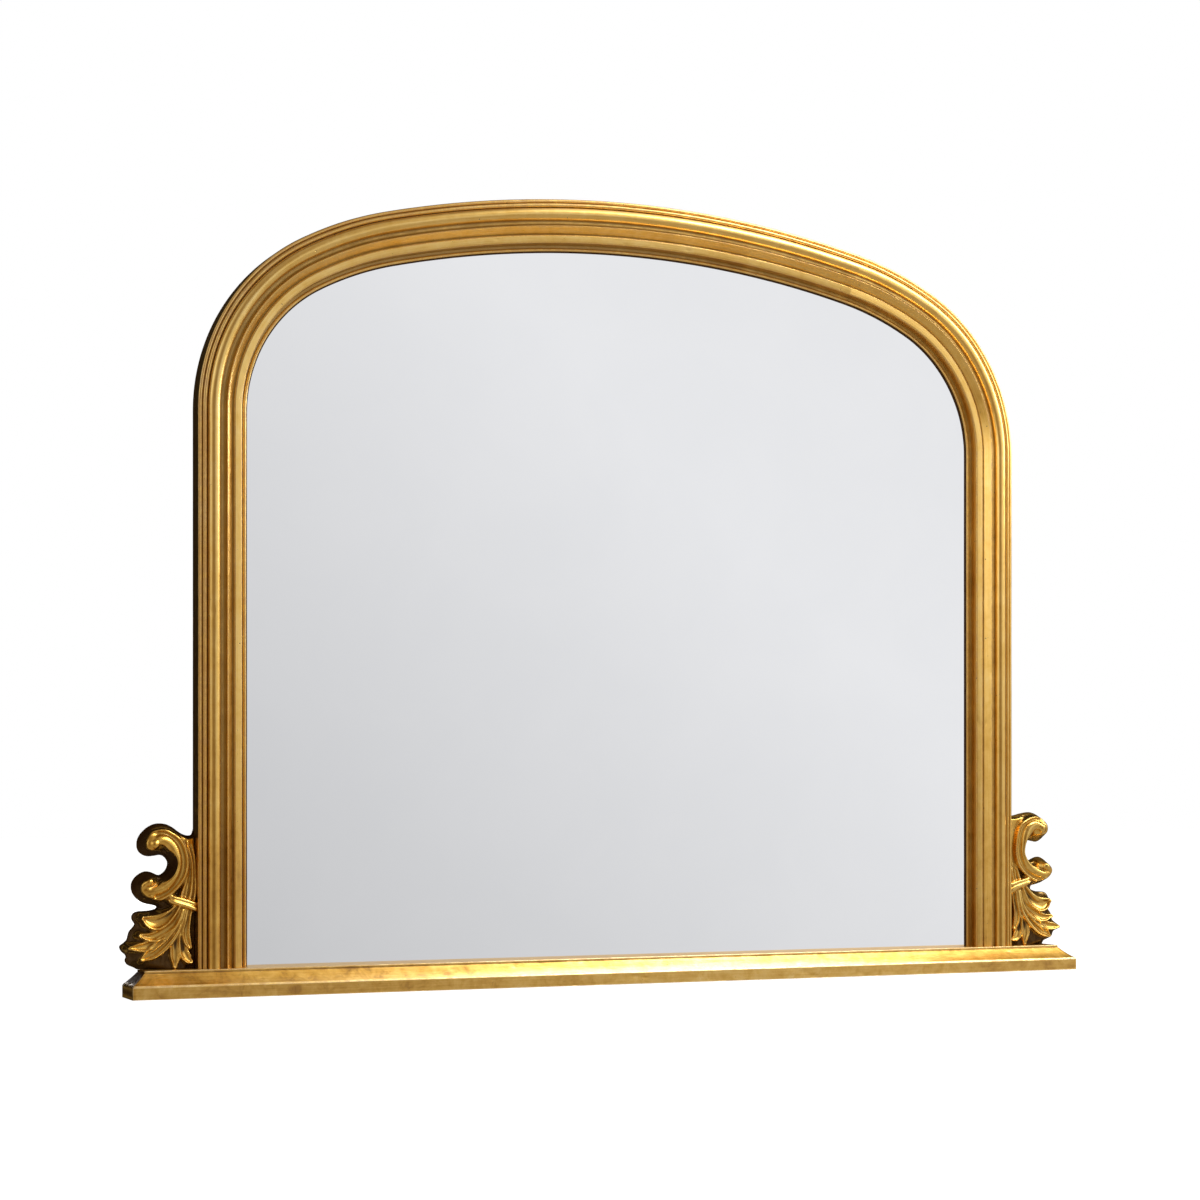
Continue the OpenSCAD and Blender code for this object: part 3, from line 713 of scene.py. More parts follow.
GILT = gilt("gilded_moulding", blot=0.35)
GILT_P = gilt("gilded_plinth", tone=-0.06, rough=0.35, burnish_highlight_gain=0.55, blot=1.0)
GILT_O = gilt("gilded_carving", swept=False, dirt_and_shade=0.9, rough=0.25, tone=-0.06)
BACKWOOD = wood("bare_frame_back", (0.50, 0.33, 0.17), (0.30, 0.17, 0.08), axis=2)

# ---------------------------------------------------------------- arch mouldings
for k, nm in enumerate(["left_stile", "left_haunch", "left_shoulder", "crown", "right_shoulder", "right_haunch", "right_stile"]):
    piece = sweep_arch(nm + "_gilded", k, [GILT, BACKWOOD])
    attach(piece, "frame")
    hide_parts(nm)

for which, nm in ((0, "plinth_front_moulding"), (-1, "left_plinth_return"), (1, "right_plinth_return")):
    piece = sweep_plinth(nm + "_gilded", which, [GILT_P, BACKWOOD])
    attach(piece, "frame")
    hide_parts(nm)


# ---------------------------------------------------------------- mirror glass
def pane(name, mats):
    """Plate with seamed edges: in from the outer edge of the frame by 55 mm, foot at z = 26."""
    L = np.concatenate([[STOPS[1]]] + [np.linspace(STOPS[k], STOPS[k + 1], n + 1)[1:] for k, n in ((1, 40), (2, 20), (3, 90), (4, 20), (5, 40))])
    P, N = arch_at(np.clip(L, STOPS[1] + 1e-9, STOPS[-2] - 1e-9))

    def loop(off, z0):
        Q = P + N * off
        left = [[-A + off, z] for z in np.linspace(z0, SPRING, 30, endpoint=False)]
        right = [[A - off, z] for z in np.linspace(SPRING, z0, 30, endpoint=False)] + [[A - off, z0]]
        foot = [[x, z0] for x in np.linspace(A - off, -A + off, 40, endpoint=False)[1:]]
        return np.array(left + list(Q) + right[1:] + foot)

    rings = [(55.6, 26.6, 19.0), (55.15, 26.15, 19.18), (55.0, 26.0, 19.6), (55.0, 26.0, 22.4), (55.15, 26.15, 22.82), (55.6, 26.6, 23.0)]
    V, m = [], None
    for off, z0, y in rings:
        q = loop(off, z0)
        m = len(q)
        V += [[a, y, b] for a, b in q]
    n = len(rings) - 1
    i, j = np.meshgrid(np.arange(n), np.arange(m), indexing="ij")
    jn = (j + 1) % m
    quads = np.stack([i * m + j, i * m + jn, (i + 1) * m + jn, (i + 1) * m + j], -1).reshape(-1, 4)
    caps = [list(range(m)), list(range(n * m, n * m + m))[::-1]]
    ob = make_mesh(name, V, quads, caps, {}, mats, np.concatenate([np.repeat([0, 1, 1, 1, 1], m), [0, 1]]), 30)
    return ob


glass = pane("mirror_plate", [silvered(), glass_back()])
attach(glass, "frame")
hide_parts("mirror_glass")


# ---------------------------------------------------------------- carved ornaments
def spline(P, n=14):
    P = np.asarray(P, float)
    Q = np.vstack([2 * P[0] - P[1], P, 2 * P[-1] - P[-2]])
    out = []
    for i in range(1, len(Q) - 2):
        t = np.linspace(0, 1, n, endpoint=False)[:, None]
        a, b, c, d = Q[i - 1], Q[i], Q[i + 1], Q[i + 2]
        out.append(0.5 * (2 * b + (c - a) * t + (2 * a - 5 * b + 4 * c - d) * t ** 2 + (3 * b - a - 3 * c + d) * t ** 3))
    out.append(Q[-2][None])
    return np.vstack(out)


class Field:
    """Grid of heights over a carving: x out from the stile, z up, millimetres."""

    def __init__(s, x0, x1, z0, z1, st):
        s.x = np.arange(x0, x1 + st / 2, st)
        s.z = np.arange(z0, z1 + st / 2, st)
        s.X, s.Z = np.meshgrid(s.x, s.z, indexing="ij")
        s.st = st

    def curve(s, pts, reach=30.0, n=8):
        """Nearest point on a smooth line whose columns are x, z, then any values."""
        C = spline(pts, n)
        lo = C[:, :2].min(0) - reach
        hi = C[:, :2].max(0) + reach
        m = (s.X >= lo[0]) & (s.X <= hi[0]) & (s.Z >= lo[1]) & (s.Z <= hi[1])
        x, z = s.X[m], s.Z[m]
        best = np.full(x.shape, 1e9)
        sd = np.zeros_like(best)
        vals = np.zeros((len(best), C.shape[1] - 2))
        seg = np.diff(C[:, :2], axis=0)
        L = np.hypot(seg[:, 0], seg[:, 1])
        for i in range(len(seg)):
            if L[i] < 1e-9:
                continue
            ux, uz = seg[i] / L[i]
            dx, dz = x - C[i, 0], z - C[i, 1]
            t = np.clip((dx * ux + dz * uz) / L[i], 0, 1)
            d = np.hypot(dx - t * L[i] * ux, dz - t * L[i] * uz)
            k = d < best
            best = np.where(k, d, best)
            sd = np.where(k, d * np.sign(ux * dz - uz * dx), sd)
            vals = np.where(k[:, None], C[i, 2:] + (C[i + 1, 2:] - C[i, 2:]) * t[:, None], vals)
        return m, sd, best, vals

    def polygon(s, pts, n=4):
        """Signed distance to a smooth closed outline, positive inside."""
        P = np.asarray(pts, float)
        Q = np.vstack([P[-1:], P, P[:2]])
        out = []
        for i in range(1, len(Q) - 2):
            t = np.linspace(0, 1, n, endpoint=False)[:, None]
            a, b, c, d = Q[i - 1], Q[i], Q[i + 1], Q[i + 2]
            out.append(0.5 * (2 * b + (c - a) * t + (2 * a - 5 * b + 4 * c - d) * t ** 2 + (3 * b - a - 3 * c + d) * t ** 3))
        P = np.vstack(out)
        d = np.full(s.X.shape, 1e9)
        inside = np.zeros(s.X.shape, bool)
        for i in range(len(P)):
            a, b = P[i], P[(i + 1) % len(P)]
            e = b - a
            l2 = e @ e
            if l2 < 1e-12:
                continue
            t = np.clip(((s.X - a[0]) * e[0] + (s.Z - a[1]) * e[1]) / l2, 0, 1)
            d = np.minimum(d, np.hypot(s.X - a[0] - t * e[0], s.Z - a[1] - t * e[1]))
            c = (a[1] > s.Z) != (b[1] > s.Z)
            xi = a[0] + (s.Z - a[1]) * e[0] / (e[1] if e[1] != 0 else 1e-12)
            inside ^= c & (s.X < xi)
        return np.where(inside, d, -d)


OUTLINE = [[-3, 28], [-3, 190], [2, 187.5], [6, 186.5], [12, 188], [18, 191.5], [24, 196], [31, 199.6], [38, 200.8], [46, 200.3],
           [54, 196.6], [61, 190.5], [65.5, 183.5], [66.8, 176], [65, 169], [60, 164.5], [53.5, 162.6], [46, 163.2], [39, 164],
           [34.5, 161.8], [31.2, 157.5], [30.6, 153], [32.5, 147.5], [36.5, 143], [41.2, 140.8], [46.5, 143], [52, 145], [58.5, 145],
           [65, 141.8], [70.5, 136.5], [73.2, 130], [72.5, 122.5], [68.5, 115.5], [61.5, 109.8], [53, 107], [46, 105.6], [42.8, 103.4],
           [47.5, 100.8], [55, 99.6], [63, 99.3], [69, 98], [72.6, 94], [71.8, 88.5], [69, 84.5], [71.5, 80.5], [75.5, 76], [77.2, 70.5],
           [78.5, 66.2], [82.5, 62.5], [86.8, 59], [85, 53.5], [80.5, 49.5], [79, 46.5], [80.6, 42.5], [77.5, 37.5], [71, 34.5], [66, 31.5], [65, 28]]


# the right-hand casting stands taller: height on the left one, height on the right one
TALL = [(20, 20), (32, 32), (58.4, 56.7), (93.2, 92.0), (103.3, 109.0), (106.5, 112.2), (130, 133.0), (145, 149.5), (155.8, 157.9),
        (162.6, 170.0), (177, 189.0), (200.5, 209.0), (215, 222.0)]
OUTLINE_R = [[-3, 28], [-3, 195.5], [3, 195.2], [9, 195.0], [15, 195.6], [21, 197.0], [26, 198.6]] + OUTLINE[7:-6]
OUTLINE_R += [[79, 46.5], [77.5, 42.5], [70, 39], [65, 36.5], [62.5, 32], [61.5, 28]]


def lift(z):
    """Height on the right-hand casting of a height on the left-hand one."""
    zz = np.arange(0.0, 240.0, 0.5)
    t = np.array(TALL, float)
    y = np.interp(zz, t[:, 0], t[:, 1])
    k = np.exp(-0.5 * (np.arange(-24, 25) * 0.5 / 3.5) ** 2)
    k /= k.sum()
    y = np.convolve(np.pad(y, 24, mode="edge"), k, mode="valid")
    return np.interp(z, zz, y)


def carve(st, right):
    """Height field of a carving, and how much of it is ground between the carved work."""
    F = Field(-3.5, 89, 28, 206, st)
    X, Z = F.X, F.Z
    D = F.polygon(OUTLINE_R if right else OUTLINE, 4)
    low = sstep(108, 98, Z)
    H = 9.5 + low * sstep(6, 16, X) * (12.5 * sstep(0.5, 14, D) - 6.0)
    ground = H.copy()

    def add(m, h, k=1.0, sel=None):
        cur = H[m]
        new = smax(cur, h, k)
        H[m] = new if sel is None else np.where(sel, new, cur)

    def cap(ex, ez, rx, rz, base, top, k=1.0):
        """Smooth ball."""
        r = np.hypot((X - ex) / rx, (Z - ez) / rz)
        hh = base + (top - base) * np.sqrt(np.clip(1 - r ** 2, 0, 1))
        H[:] = np.where(r < 1, smax(H, hh, k), H)

    def cut(c, depth):
        """Round groove along a line with its half-width as the third column."""
        m, sd, d, v = F.curve(c, 8)
        H[m] -= depth * v[:, 1] * np.exp(-(d / v[:, 0]) ** 2)

    # C-scroll: a broad roll along its inner edge, a cove, and a thin raised rim outside
    rim = [(52.0, 191.6, 1.0, 19.0), (45.4, 192.9, 1.5, 21.0), (38.8, 193.3, 1.7, 21.4), (32.1, 190.9, 1.7, 21.6), (22.1, 184.6, 1.7, 21.8),
           (16.7, 177.6, 1.7, 21.8), (13.3, 169.0, 1.7, 21.8), (11.3, 159.7, 1.7, 21.8), (11.1, 150.5, 1.7, 21.8), (12.7, 142.5, 1.7, 21.8),
           (16.0, 135.4, 1.7, 21.8), (22.1, 127.5, 1.7, 21.8), (30.1, 120.2, 1.7, 21.8), (38.8, 114.8, 1.7, 21.8), (46.8, 112.6, 1.7, 21.6),
           (54.5, 113.6, 1.7, 21.2), (60.4, 117.8, 1.5, 20)]
    roll = [(49.7, 178.2, 4.2, 24.5), (42.4, 181.4, 5.3, 24.4), (35.2, 179.6, 5.6, 24.2), (28.9, 173.6, 5.5, 24.1), (25.2, 165.9, 5.3, 24), (23.8, 157.3, 5.2, 24),
            (24.2, 149.5, 5.2, 24), (27.0, 141.5, 5.2, 24), (32.2, 133.9, 5.3, 24.1), (38.7, 128.2, 5.4, 24.2), (45.6, 124.8, 5.4, 24.2), (52.5, 122.8, 5.0, 24),
            (58.0, 120.8, 3.8, 23.2), (59.5, 117.5, 2.4, 21.5)]
    band = [(56, 181, 7, 16.5), (50, 185, 7.5, 18), (40, 188, 8.0, 18.5), (30, 183.5, 8.6, 18.5), (21.5, 172.5, 8.6, 18.5), (17.8, 160, 8.4, 18.5), (17.6, 151, 8.4, 18.5),
            (20.2, 141, 8.4, 18.5), (27, 130.5, 8.6, 18.5), (36, 122.5, 8.6, 18.5), (46, 118.6, 8.0, 18.5), (54, 119.5, 7.0, 18.5), (60, 124, 6.5, 17)]
    m, sd, d, v = F.curve(band)
    w, h = v[:, 0], v[:, 1]
    q = d / w
    add(m, 10 + (h - 10) * np.sqrt(np.clip(1 - (q / 1.12) ** 4, 0, 1)), 1.0, q < 1.12)
    cap(53.0, 177.0, 15.5, 16.0, 10, 23.6, 2.0)
    cap(59.0, 130.0, 15.0, 16.5, 10, 24.6, 2.0)
    m, sd, d, v = F.curve(roll)
    w, h = v[:, 0], v[:, 1]
    q = np.clip(d / w, 0, 1.25)
    add(m, h - 0.55 * w * (1 - np.sqrt(np.clip(1 - (q / 1.25) ** 2, 0, 1))) * 2.2, 0.8, q < 1.25)
    m, sd, d, v = F.curve(rim)
    w, h = v[:, 0], v[:, 1]
    q = d / w
    add(m, h - 2.2 * np.clip(q, 0, 1.6) ** 2, 0.4, q < 1.6)
    m, sd, d, v = F.curve([(22, 160, 0.6, 19.4), (20.2, 150, 1.0, 20.6), (21.8, 141, 1.2, 21.0), (27.5, 130.5, 1.2, 21.0), (36, 123.0, 1.2, 21.0), (45, 118.6, 1.1, 20.6), (51, 117.6, .8, 19.8)])
    q = d / v[:, 0]
    add(m, v[:, 1] - 1.6 * np.clip(q, 0, 1.5) ** 2, 0.4, q < 1.5)
    cap(49.8, 177.0, 5.8, 5.8, 21.0, 26.8, 0.8)
    cap(57.0, 133.4, 6.4, 6.4, 20.5, 26.6, 1.4)
    cap(54.8, 117.0, 6.0, 3.8, 18.5, 23.4, 0.8)
    cut([(46, 187.5, 1.8, 0.4), (52, 186.6, 1.9, 1.0), (58.0, 183.2, 1.9, 1.0), (60.4, 178.0, 1.9, 0.9), (59.2, 172.4, 1.8, 0.7), (55, 168.8, 1.6, 0.2)], 0.9)
    cut([(40.5, 134.6, 1.4, 0.2), (46.5, 131.0, 1.5, 1.0), (53.0, 128.2, 1.6, 1.0), (60.0, 126.6, 1.6, 0.9), (65.0, 122.8, 1.5, 0.3)], 1.9)

    # web and reeds between the scroll and the stile
    if right:
        web = [(6, 105, 9, 13.5), (5, 140, 8, 14.0), (6, 170, 12, 14.2), (6, 186, 18, 15.0), (8, 200, 22, 15.5)]
        fade = 0.0
    else:
        web = [(6, 105, 9, 13.5), (5, 140, 8, 13.8), (8, 170, 8, 13.4), (12, 190, 7, 12.0)]
        fade = 1.0
    m, sd, d, v = F.curve(web, 18)
    q = np.clip(d / v[:, 0], 0, 1)
    add(m, 10 + (v[:, 1] - 10) * (1 - q ** 4), 1.6)
    reeds = [[(18.5, 112, 2.0, 19.5), (15.6, 122, 2.1, 19.5), (12.2, 133, 1.9, 19.5), (9.6, 143, 1.6, 19.2), (8.4, 152, 1.4, 18.4), (8.6, 160, 1.1, 17)],
             [(13.4, 111.5, 1.8, 17.6), (11.2, 122, 1.6, 17.4), (8.8, 134, 1.3, 17.0), (7.4, 145, 1.0, 16)],
             [(8.6, 110.5, 2.1, 19.6), (6.0, 121, 2.1, 19.6), (4.8, 134, 2.1, 19.4), (4.6, 147, 2.0, 19), (5.6, 159, 1.9, 18.2), (8.0, 169, 1.8, 17.2), (9.4, 177, 1.6, 15.8), (9.6, 183, 1.2, 13.5)],
             [(3.2, 109, 1.9, 19.4), (1.2, 121, 1.9, 19.4), (0.4, 134, 1.8, 19.2), (0.6, 147, 1.7, 18.6), (1.4, 158, 1.5, 17.6), (2.6, 168, 1.2, 15.8), (3.6, 176, .9, 13.6)]]
    for c in reeds:
        m, sd, d, v = F.curve(c, 8)
        q = d / v[:, 0]
        top = 13 + (v[:, 1] - 13) * (1 - (1 - fade) * sstep(128, 142, Z[m]))
        add(m, 10 + (top - 10) * np.sqrt(np.clip(1 - (q / 1.25) ** 2, 0, 1)), 0.5, q < 1.25)

    # leaf
    body = [[2, 103], [8, 100], [24, 109], [34, 104], [44, 98.5], [56, 96.5], [66, 92.5], [64, 86.5], [58, 81.5], [60, 76.5], [69.5, 72.5], [68.5, 67.5], [71, 63.5],
            [80, 58], [74, 52.5], [65, 51], [67, 43], [59, 41.5], [48, 45.5], [41, 37], [34, 46], [26, 33.5], [19, 44], [13, 38.5], [5, 39.5], [9, 50], [5, 57], [6, 75], [1.5, 96]]
    Db = F.polygon(body, 5)
    H[:] = smax(H, 3.5 + 13.0 * sstep(-1.5, 7, Db), 1.0)
    body_ground = H.copy()

    def lobe(c, rimw=1.25, rimh=1.0, dish=2.6, k=0.5, lean=0.0):
        """Gutter-shaped leaflet: raised edges, hollow middle, falling steeply outside."""
        m, sd, d, v = F.curve(c, 14)
        w, h = np.maximum(v[:, 0] * 1.25 + 0.3, 1.7), v[:, 1] + 3.0
        q, s = d / w, sd / w
        prof = h - dish * (1 - np.clip(q, 0, 1) ** 2.2) + lean * s
        out = h + lean * s - (q - 1) * w * 3.4
        hh = np.where(q <= 1, prof, out)
        e = (q - 1) * w / rimw
        hh = hh + rimh * np.exp(-(e ** 2))
        add(m, hh, k, (q - 1) * w < 4.5)

    lobe([(28, 70, 1.5, 13.5), (32.5, 60, 2.6, 13.8), (36, 50, 3.0, 13.8), (39, 39, 1.6, 13.2)], 1.1, .6, 1.2)
    lobe([(12, 92, 1.2, 13), (14.5, 76, 1.5, 13.2), (17.5, 62, 2.0, 13.4), (18.0, 50, 2.0, 12.8)], 1.0, .5, 1.0)
    lobe([(19, 96, 1.2, 16), (22.5, 80, 2.0, 16.4), (24.8, 65, 3.6, 17.0), (25.2, 50, 4.4, 17.6), (25.2, 42, 3.0, 17.4), (25.2, 35, 0.5, 16.6)], 1.2, 1.3, 3.2, .45)
    lobe([(17, 70, 1.5, 14.5), (16.6, 58, 2.6, 15.4), (13.2, 48, 4.0, 17.2), (9.4, 42.5, 3.0, 17.8), (6.2, 40.5, 0.8, 17)], 1.3, 1.3, 2.6, .45, 0.6)
    lobe([(7.6, 101, 1.6, 16.5), (10.6, 88, 2.2, 16.8), (12.4, 76, 2.8, 17.2), (11.6, 66, 2.8, 17.8), (9.4, 60, 2.0, 18.0), (7.8, 57.2, 0.5, 17.8)], 1.1, 1.4, 3.0, .4)
    lobe([(15.5, 97, 1.2, 17), (21.5, 82, 2.6, 17.8), (30, 70.5, 4.2, 18.4), (40, 61, 5.2, 18.8), (50, 53.5, 5.4, 18.8), (58, 48, 3.6, 18.6), (63.8, 44, 0.8, 18)], 1.35, 1.6, 3.2, .45, -0.6)
    lobe([(26, 80, 1.0, 17), (34, 72.5, 2.0, 17.4), (45, 65.0, 3.0, 17.8), (57, 59.8, 3.6, 18), (68, 58, 3.2, 18.2), (78.4, 57.6, 0.6, 17.6)], 1.3, 1.5, 2.6, .45, -0.5)
    lobe([(18.5, 99, 1.2, 17.5), (25.2, 87, 2.4, 18.2), (33.5, 78.2, 3.8, 18.6), (43, 72.4, 4.2, 18.8), (54, 69.8, 3.5, 18.8), (65.8, 71.8, 0.8, 18)], 1.35, 1.6, 3.2, .45, -0.9)
    lobe([(23, 103.5, 1.6, 18.5), (30, 96.8, 3.2, 19), (38.5, 90.4, 5.2, 19.4), (48, 87.2, 6.6, 19.6), (56, 88.4, 5.0, 19.4), (62.6, 91.6, 1.0, 18.6)], 1.5, 1.8, 5.0, .45, -1.2)
    for c in [[(24.5, 106, 1.1, 22), (33, 99, 1.0, 22.4), (41, 93.5, 0.9, 21.6), (47, 91, .6, 20)],
              [(21, 103, 1.1, 22.2), (27.5, 92.5, 1.0, 22.8), (35, 84.5, 1.0, 22.8), (43, 80, 0.9, 22)],
              [(16.5, 101, 1.1, 22), (20, 89, 1.2, 22.6), (27, 77, 1.2, 23.0), (36, 67, 1.2, 23.2), (46, 58.5, 1.1, 22.8), (54, 52, .8, 21.8)],
              [(13.5, 101, 1.2, 22), (16.2, 90, 1.3, 22.6), (20.5, 79, 1.3, 22.8), (26, 70, 1.3, 22.8), (33, 61.6, 1.3, 22.8), (42, 53, 1.2, 22.4), (50, 47.6, 1.1, 22.0), (60, 44.4, .8, 21)],
              [(10.5, 101, 1.0, 21), (13, 88, 1.0, 21.2), (16.5, 77, 1.0, 21), (20, 69, .9, 20.4)]]:
        m, sd, d, v = F.curve(c, 6)
        q = d / v[:, 0]
        add(m, v[:, 1] - 1.5 * np.clip(q, 0, 1.8) ** 2, 0.5, q < 1.8)
    bare = np.clip(1 - (H - np.maximum(ground, body_ground)) / 1.6, 0, 1) * sstep(104, 96, Z)
    bare = np.maximum(bare, np.clip(1 - (H - ground) / 2.0, 0, 1))

    # collar: two beads round the stems
    for c in [[(30.5, 116.6, 2.0, 21.4), (26.5, 114.6, 2.3, 22.4), (16, 111.8, 2.4, 22.8), (4, 107.8, 2.3, 22.4), (0.6, 106.5, 2.0, 21.2)],
              [(32, 111.8, 2.0, 22), (28.7, 110.4, 2.6, 23.6), (20, 107.6, 2.7, 24.2), (10, 104.4, 2.7, 24.2), (2.4, 101.4, 2.5, 23.6), (0, 100.4, 2.2, 22)]]:
        m, sd, d, v = F.curve(c, 6)
        w = v[:, 0]
        q = d / w
        hh = v[:, 1] - w * 1.15 * (1 - np.sqrt(np.clip(1 - (q / 1.15) ** 2, 0, 1))) - np.clip(q - 1.0, 0, 9) * 6
        bare[m] = np.where((q < 1.4) & (hh > H[m] - 1), 0.0, bare[m])
        add(m, hh, 0.3, q < 1.9)

    # side walls lean in towards the front
    lean = 0.36 - 0.05 * sstep(104, 94, Z) * sstep(2, 14, X)
    wall = np.where(D > 0, (D + 0.4) / lean, D * 4)
    side = sstep(-3.5, 5.0, H - wall)
    H = smin(H, wall, 1.6)
    H = blur2(H, 0.5, st)
    return F, H, D, bare, side


def blur2(H, sigma, st):
    k = int(3 * sigma / st) + 1
    w = np.exp(-0.5 * (np.arange(-k, k + 1) * st / sigma) ** 2)
    w /= w.sum()
    G = np.pad(H, k, mode="edge")
    A1 = sum(wi * G[i:i + H.shape[0], :] for i, wi in enumerate(w))
    return sum(wi * A1[:, i:i + H.shape[1]] for i, wi in enumerate(w))


def surface_net(G, origin, st):
    """Quads on the surface where the field G passes zero, negative inside."""
    inside = G < 0
    sl = lambda a, i, j, k: a[i:a.shape[0] - 1 + i, j:a.shape[1] - 1 + j, k:a.shape[2] - 1 + k]
    cnt = sum(sl(inside, i, j, k).astype(np.int8) for i in (0, 1) for j in (0, 1) for k in (0, 1))
    act = (cnt > 0) & (cnt < 8)
    cells = np.argwhere(act)
    idx = -np.ones(act.shape, np.int64)
    idx[act] = np.arange(len(cells))
    P = np.zeros((len(cells), 3))
    C = np.zeros(len(cells))
    ci, cj, ck = cells.T
    for a in [(0, 0, 0), (0, 0, 1), (0, 1, 0), (0, 1, 1), (1, 0, 0), (1, 0, 1), (1, 1, 0), (1, 1, 1)]:
        for ax in range(3):
            if a[ax]:
                continue
            b = list(a)
            b[ax] = 1
            fa = G[ci + a[0], cj + a[1], ck + a[2]]
            fb = G[ci + b[0], cj + b[1], ck + b[2]]
            x = (fa < 0) != (fb < 0)
            t = fa[x] / (fa[x] - fb[x])
            q = np.tile(np.array(a, float), (x.sum(), 1))
            q[:, ax] += t
            P[x] += q
            C[x] += 1
    V = np.asarray(origin) + (cells + P / C[:, None]) * st
    quads = []
    for ax in range(3):
        o = [i for i in range(3) if i != ax]
        lo = [slice(None)] * 3
        hi = [slice(None)] * 3
        lo[ax], hi[ax] = slice(0, -1), slice(1, None)
        for r in o:
            lo[r] = hi[r] = slice(1, -1)
        s0, s1 = inside[tuple(lo)], inside[tuple(hi)]
        e = np.argwhere(s0 != s1)
        first = s0[s0 != s1]
        e[:, o[0]] += 1
        e[:, o[1]] += 1
        quad = []
        for (da, db) in ((-1, -1), (0, -1), (0, 0), (-1, 0)):
            c = e.copy()
            c[:, o[0]] += da
            c[:, o[1]] += db
            quad.append(idx[c[:, 0], c[:, 1], c[:, 2]])
        quad = np.stack(quad, 1)
        flip = first if ax != 1 else ~first
        quad = np.where(flip[:, None], quad, quad[:, ::-1])
        quads.append(quad)
    return V, np.vstack(quads)


def relax(V, quads):
    """Even out the steps of the grid without shrinking the shape; the flat back, side and foot stay flat."""
    E = np.vstack([quads[:, [0, 1]], quads[:, [1, 2]], quads[:, [2, 3]], quads[:, [3, 0]]])
    W = V.copy()
    count = np.bincount(E[:, 0], minlength=len(V)) + np.bincount(E[:, 1], minlength=len(V))
    for k in (0.5, -0.52) * 5:
        mean = np.stack([np.bincount(E[:, 0], W[E[:, 1], c], len(V)) + np.bincount(E[:, 1], W[E[:, 0], c], len(V)) for c in range(3)], 1)
        W += k * (mean / np.maximum(count, 1)[:, None] - W)
    W[:, 2] = np.where(V[:, 2] < 0.02, 0.0, np.maximum(W[:, 2], 0.0))
    W[:, 0] = np.where(V[:, 0] < 0.02, 0.0, np.maximum(W[:, 0], 0.0))
    W[:, 1] = np.where(V[:, 1] < 32.02, 32.0, np.maximum(W[:, 1], 32.0))
    return W


def spread(v, quads, rounds):
    """Soften a value over the neighbouring points of a mesh."""
    E = np.vstack([quads[:, [0, 1]], quads[:, [1, 2]], quads[:, [2, 3]], quads[:, [3, 0]]])
    count = np.bincount(E[:, 0], minlength=len(v)) + np.bincount(E[:, 1], minlength=len(v))
    for _ in range(rounds):
        v = 0.4 * v + 0.6 * (np.bincount(E[:, 0], v[E[:, 1]], len(v)) + np.bincount(E[:, 1], v[E[:, 0]], len(v))) / np.maximum(count, 1)
    return v


def soften(G, sigma, st):
    """Round the corners of a distance field, as layers of gesso do, by blurring it along its three axes."""
    r = int(np.ceil(2.5 * sigma / st))
    k = np.exp(-0.5 * (np.arange(-r, r + 1) * st / sigma) ** 2)
    k /= k.sum()
    for ax in range(3):
        Q = np.pad(G, [(r, r) if a == ax else (0, 0) for a in range(3)], mode="edge")
        n = G.shape[ax]
        G = sum(w * Q[tuple(slice(i, i + n) if a == ax else slice(None) for a in range(3))] for i, w in enumerate(k))
    return G


def sample(F, A2, x, z):
    u = np.clip((x - F.x[0]) / F.st, 0, len(F.x) - 1.001)
    w = np.clip((z - F.z[0]) / F.st, 0, len(F.z) - 1.001)
    i, j = u.astype(int), w.astype(int)
    fu, fw = u - i, w - j
    return (A2[i, j] * (1 - fu) * (1 - fw) + A2[i + 1, j] * fu * (1 - fw) + A2[i, j + 1] * (1 - fu) * fw + A2[i + 1, j + 1] * fu * fw)


def ornament(name, side, mats):
    st = 0.55
    right = side > 0
    F, H, D, bare, flank_shade_mask = carve(st, right)
    gx, gz = np.gradient(H, F.st)
    norm = np.sqrt(1 + gx ** 2 + gz ** 2)
    hs = np.arange(-1.5 * st, 28.5, st)
    G = (hs[None, None, :] - H[:, :, None]) / norm[:, :, None]
    G = soften(np.clip(G, -2.0, 2.0), 0.75, F.st)
    G = np.maximum(G, -hs[None, None, :])
    G = np.maximum(G, (0.0 - F.X)[:, :, None])            # stile side
    G = np.maximum(G, (32.0 - F.Z)[:, :, None])           # foot
    V, quads = surface_net(G, (F.x[0], F.z[0], hs[0]), st)
    V = relax(V, quads)
    x, z, h = V[:, 0], V[:, 1], V[:, 2]
    near, far = blur2(H, 1.0, F.st), blur2(H, 3.6, F.st)
    crest = np.clip(sample(F, H - near, x, z) / 0.8, -1, 1)
    high = np.clip(sample(F, H - far, x, z) / 3.2, -1, 1)
    # painted shade on the side walls and on the ground between the carved work, near black on the left casting, lighter
    # on the walls of the right one
    wall_shade = np.clip((sample(F, np.minimum(H, 24), x, z) - h) / 3.0, 0, 1)
    wall_shade = np.maximum(wall_shade, sample(F, flank_shade_mask, x, z))
    crest = crest * (1 - wall_shade) - 0.25 * wall_shade
    ground = sample(F, bare, x, z) * (1 - wall_shade)
    both = np.clip(1.6 * (wall_shade + ground), 0, 1)
    shade_level = ((0.6 if right else 1.48) * wall_shade + 1.42 * ground) / np.maximum(wall_shade + ground, 1e-6)
    high = high * (1 - both) - shade_level * both
    if right:
        # the web of the right-hand casting gets no painted shade or hollow grime
        web = sstep(14, 8, x) * sstep(112, 150, z)
        high = high * (1 - web)
        z = lift(z)
    crest = spread(crest, quads, 4)
    high = spread(high, quads, 6)
    P = np.stack([side * (A + x), YB - h, z], 1)
    behind = (h[quads] < 0.3).all(1)
    return make_mesh(name, P, quads, [], {"crest": crest, "high": high}, mats, np.where(behind, 1, 0))


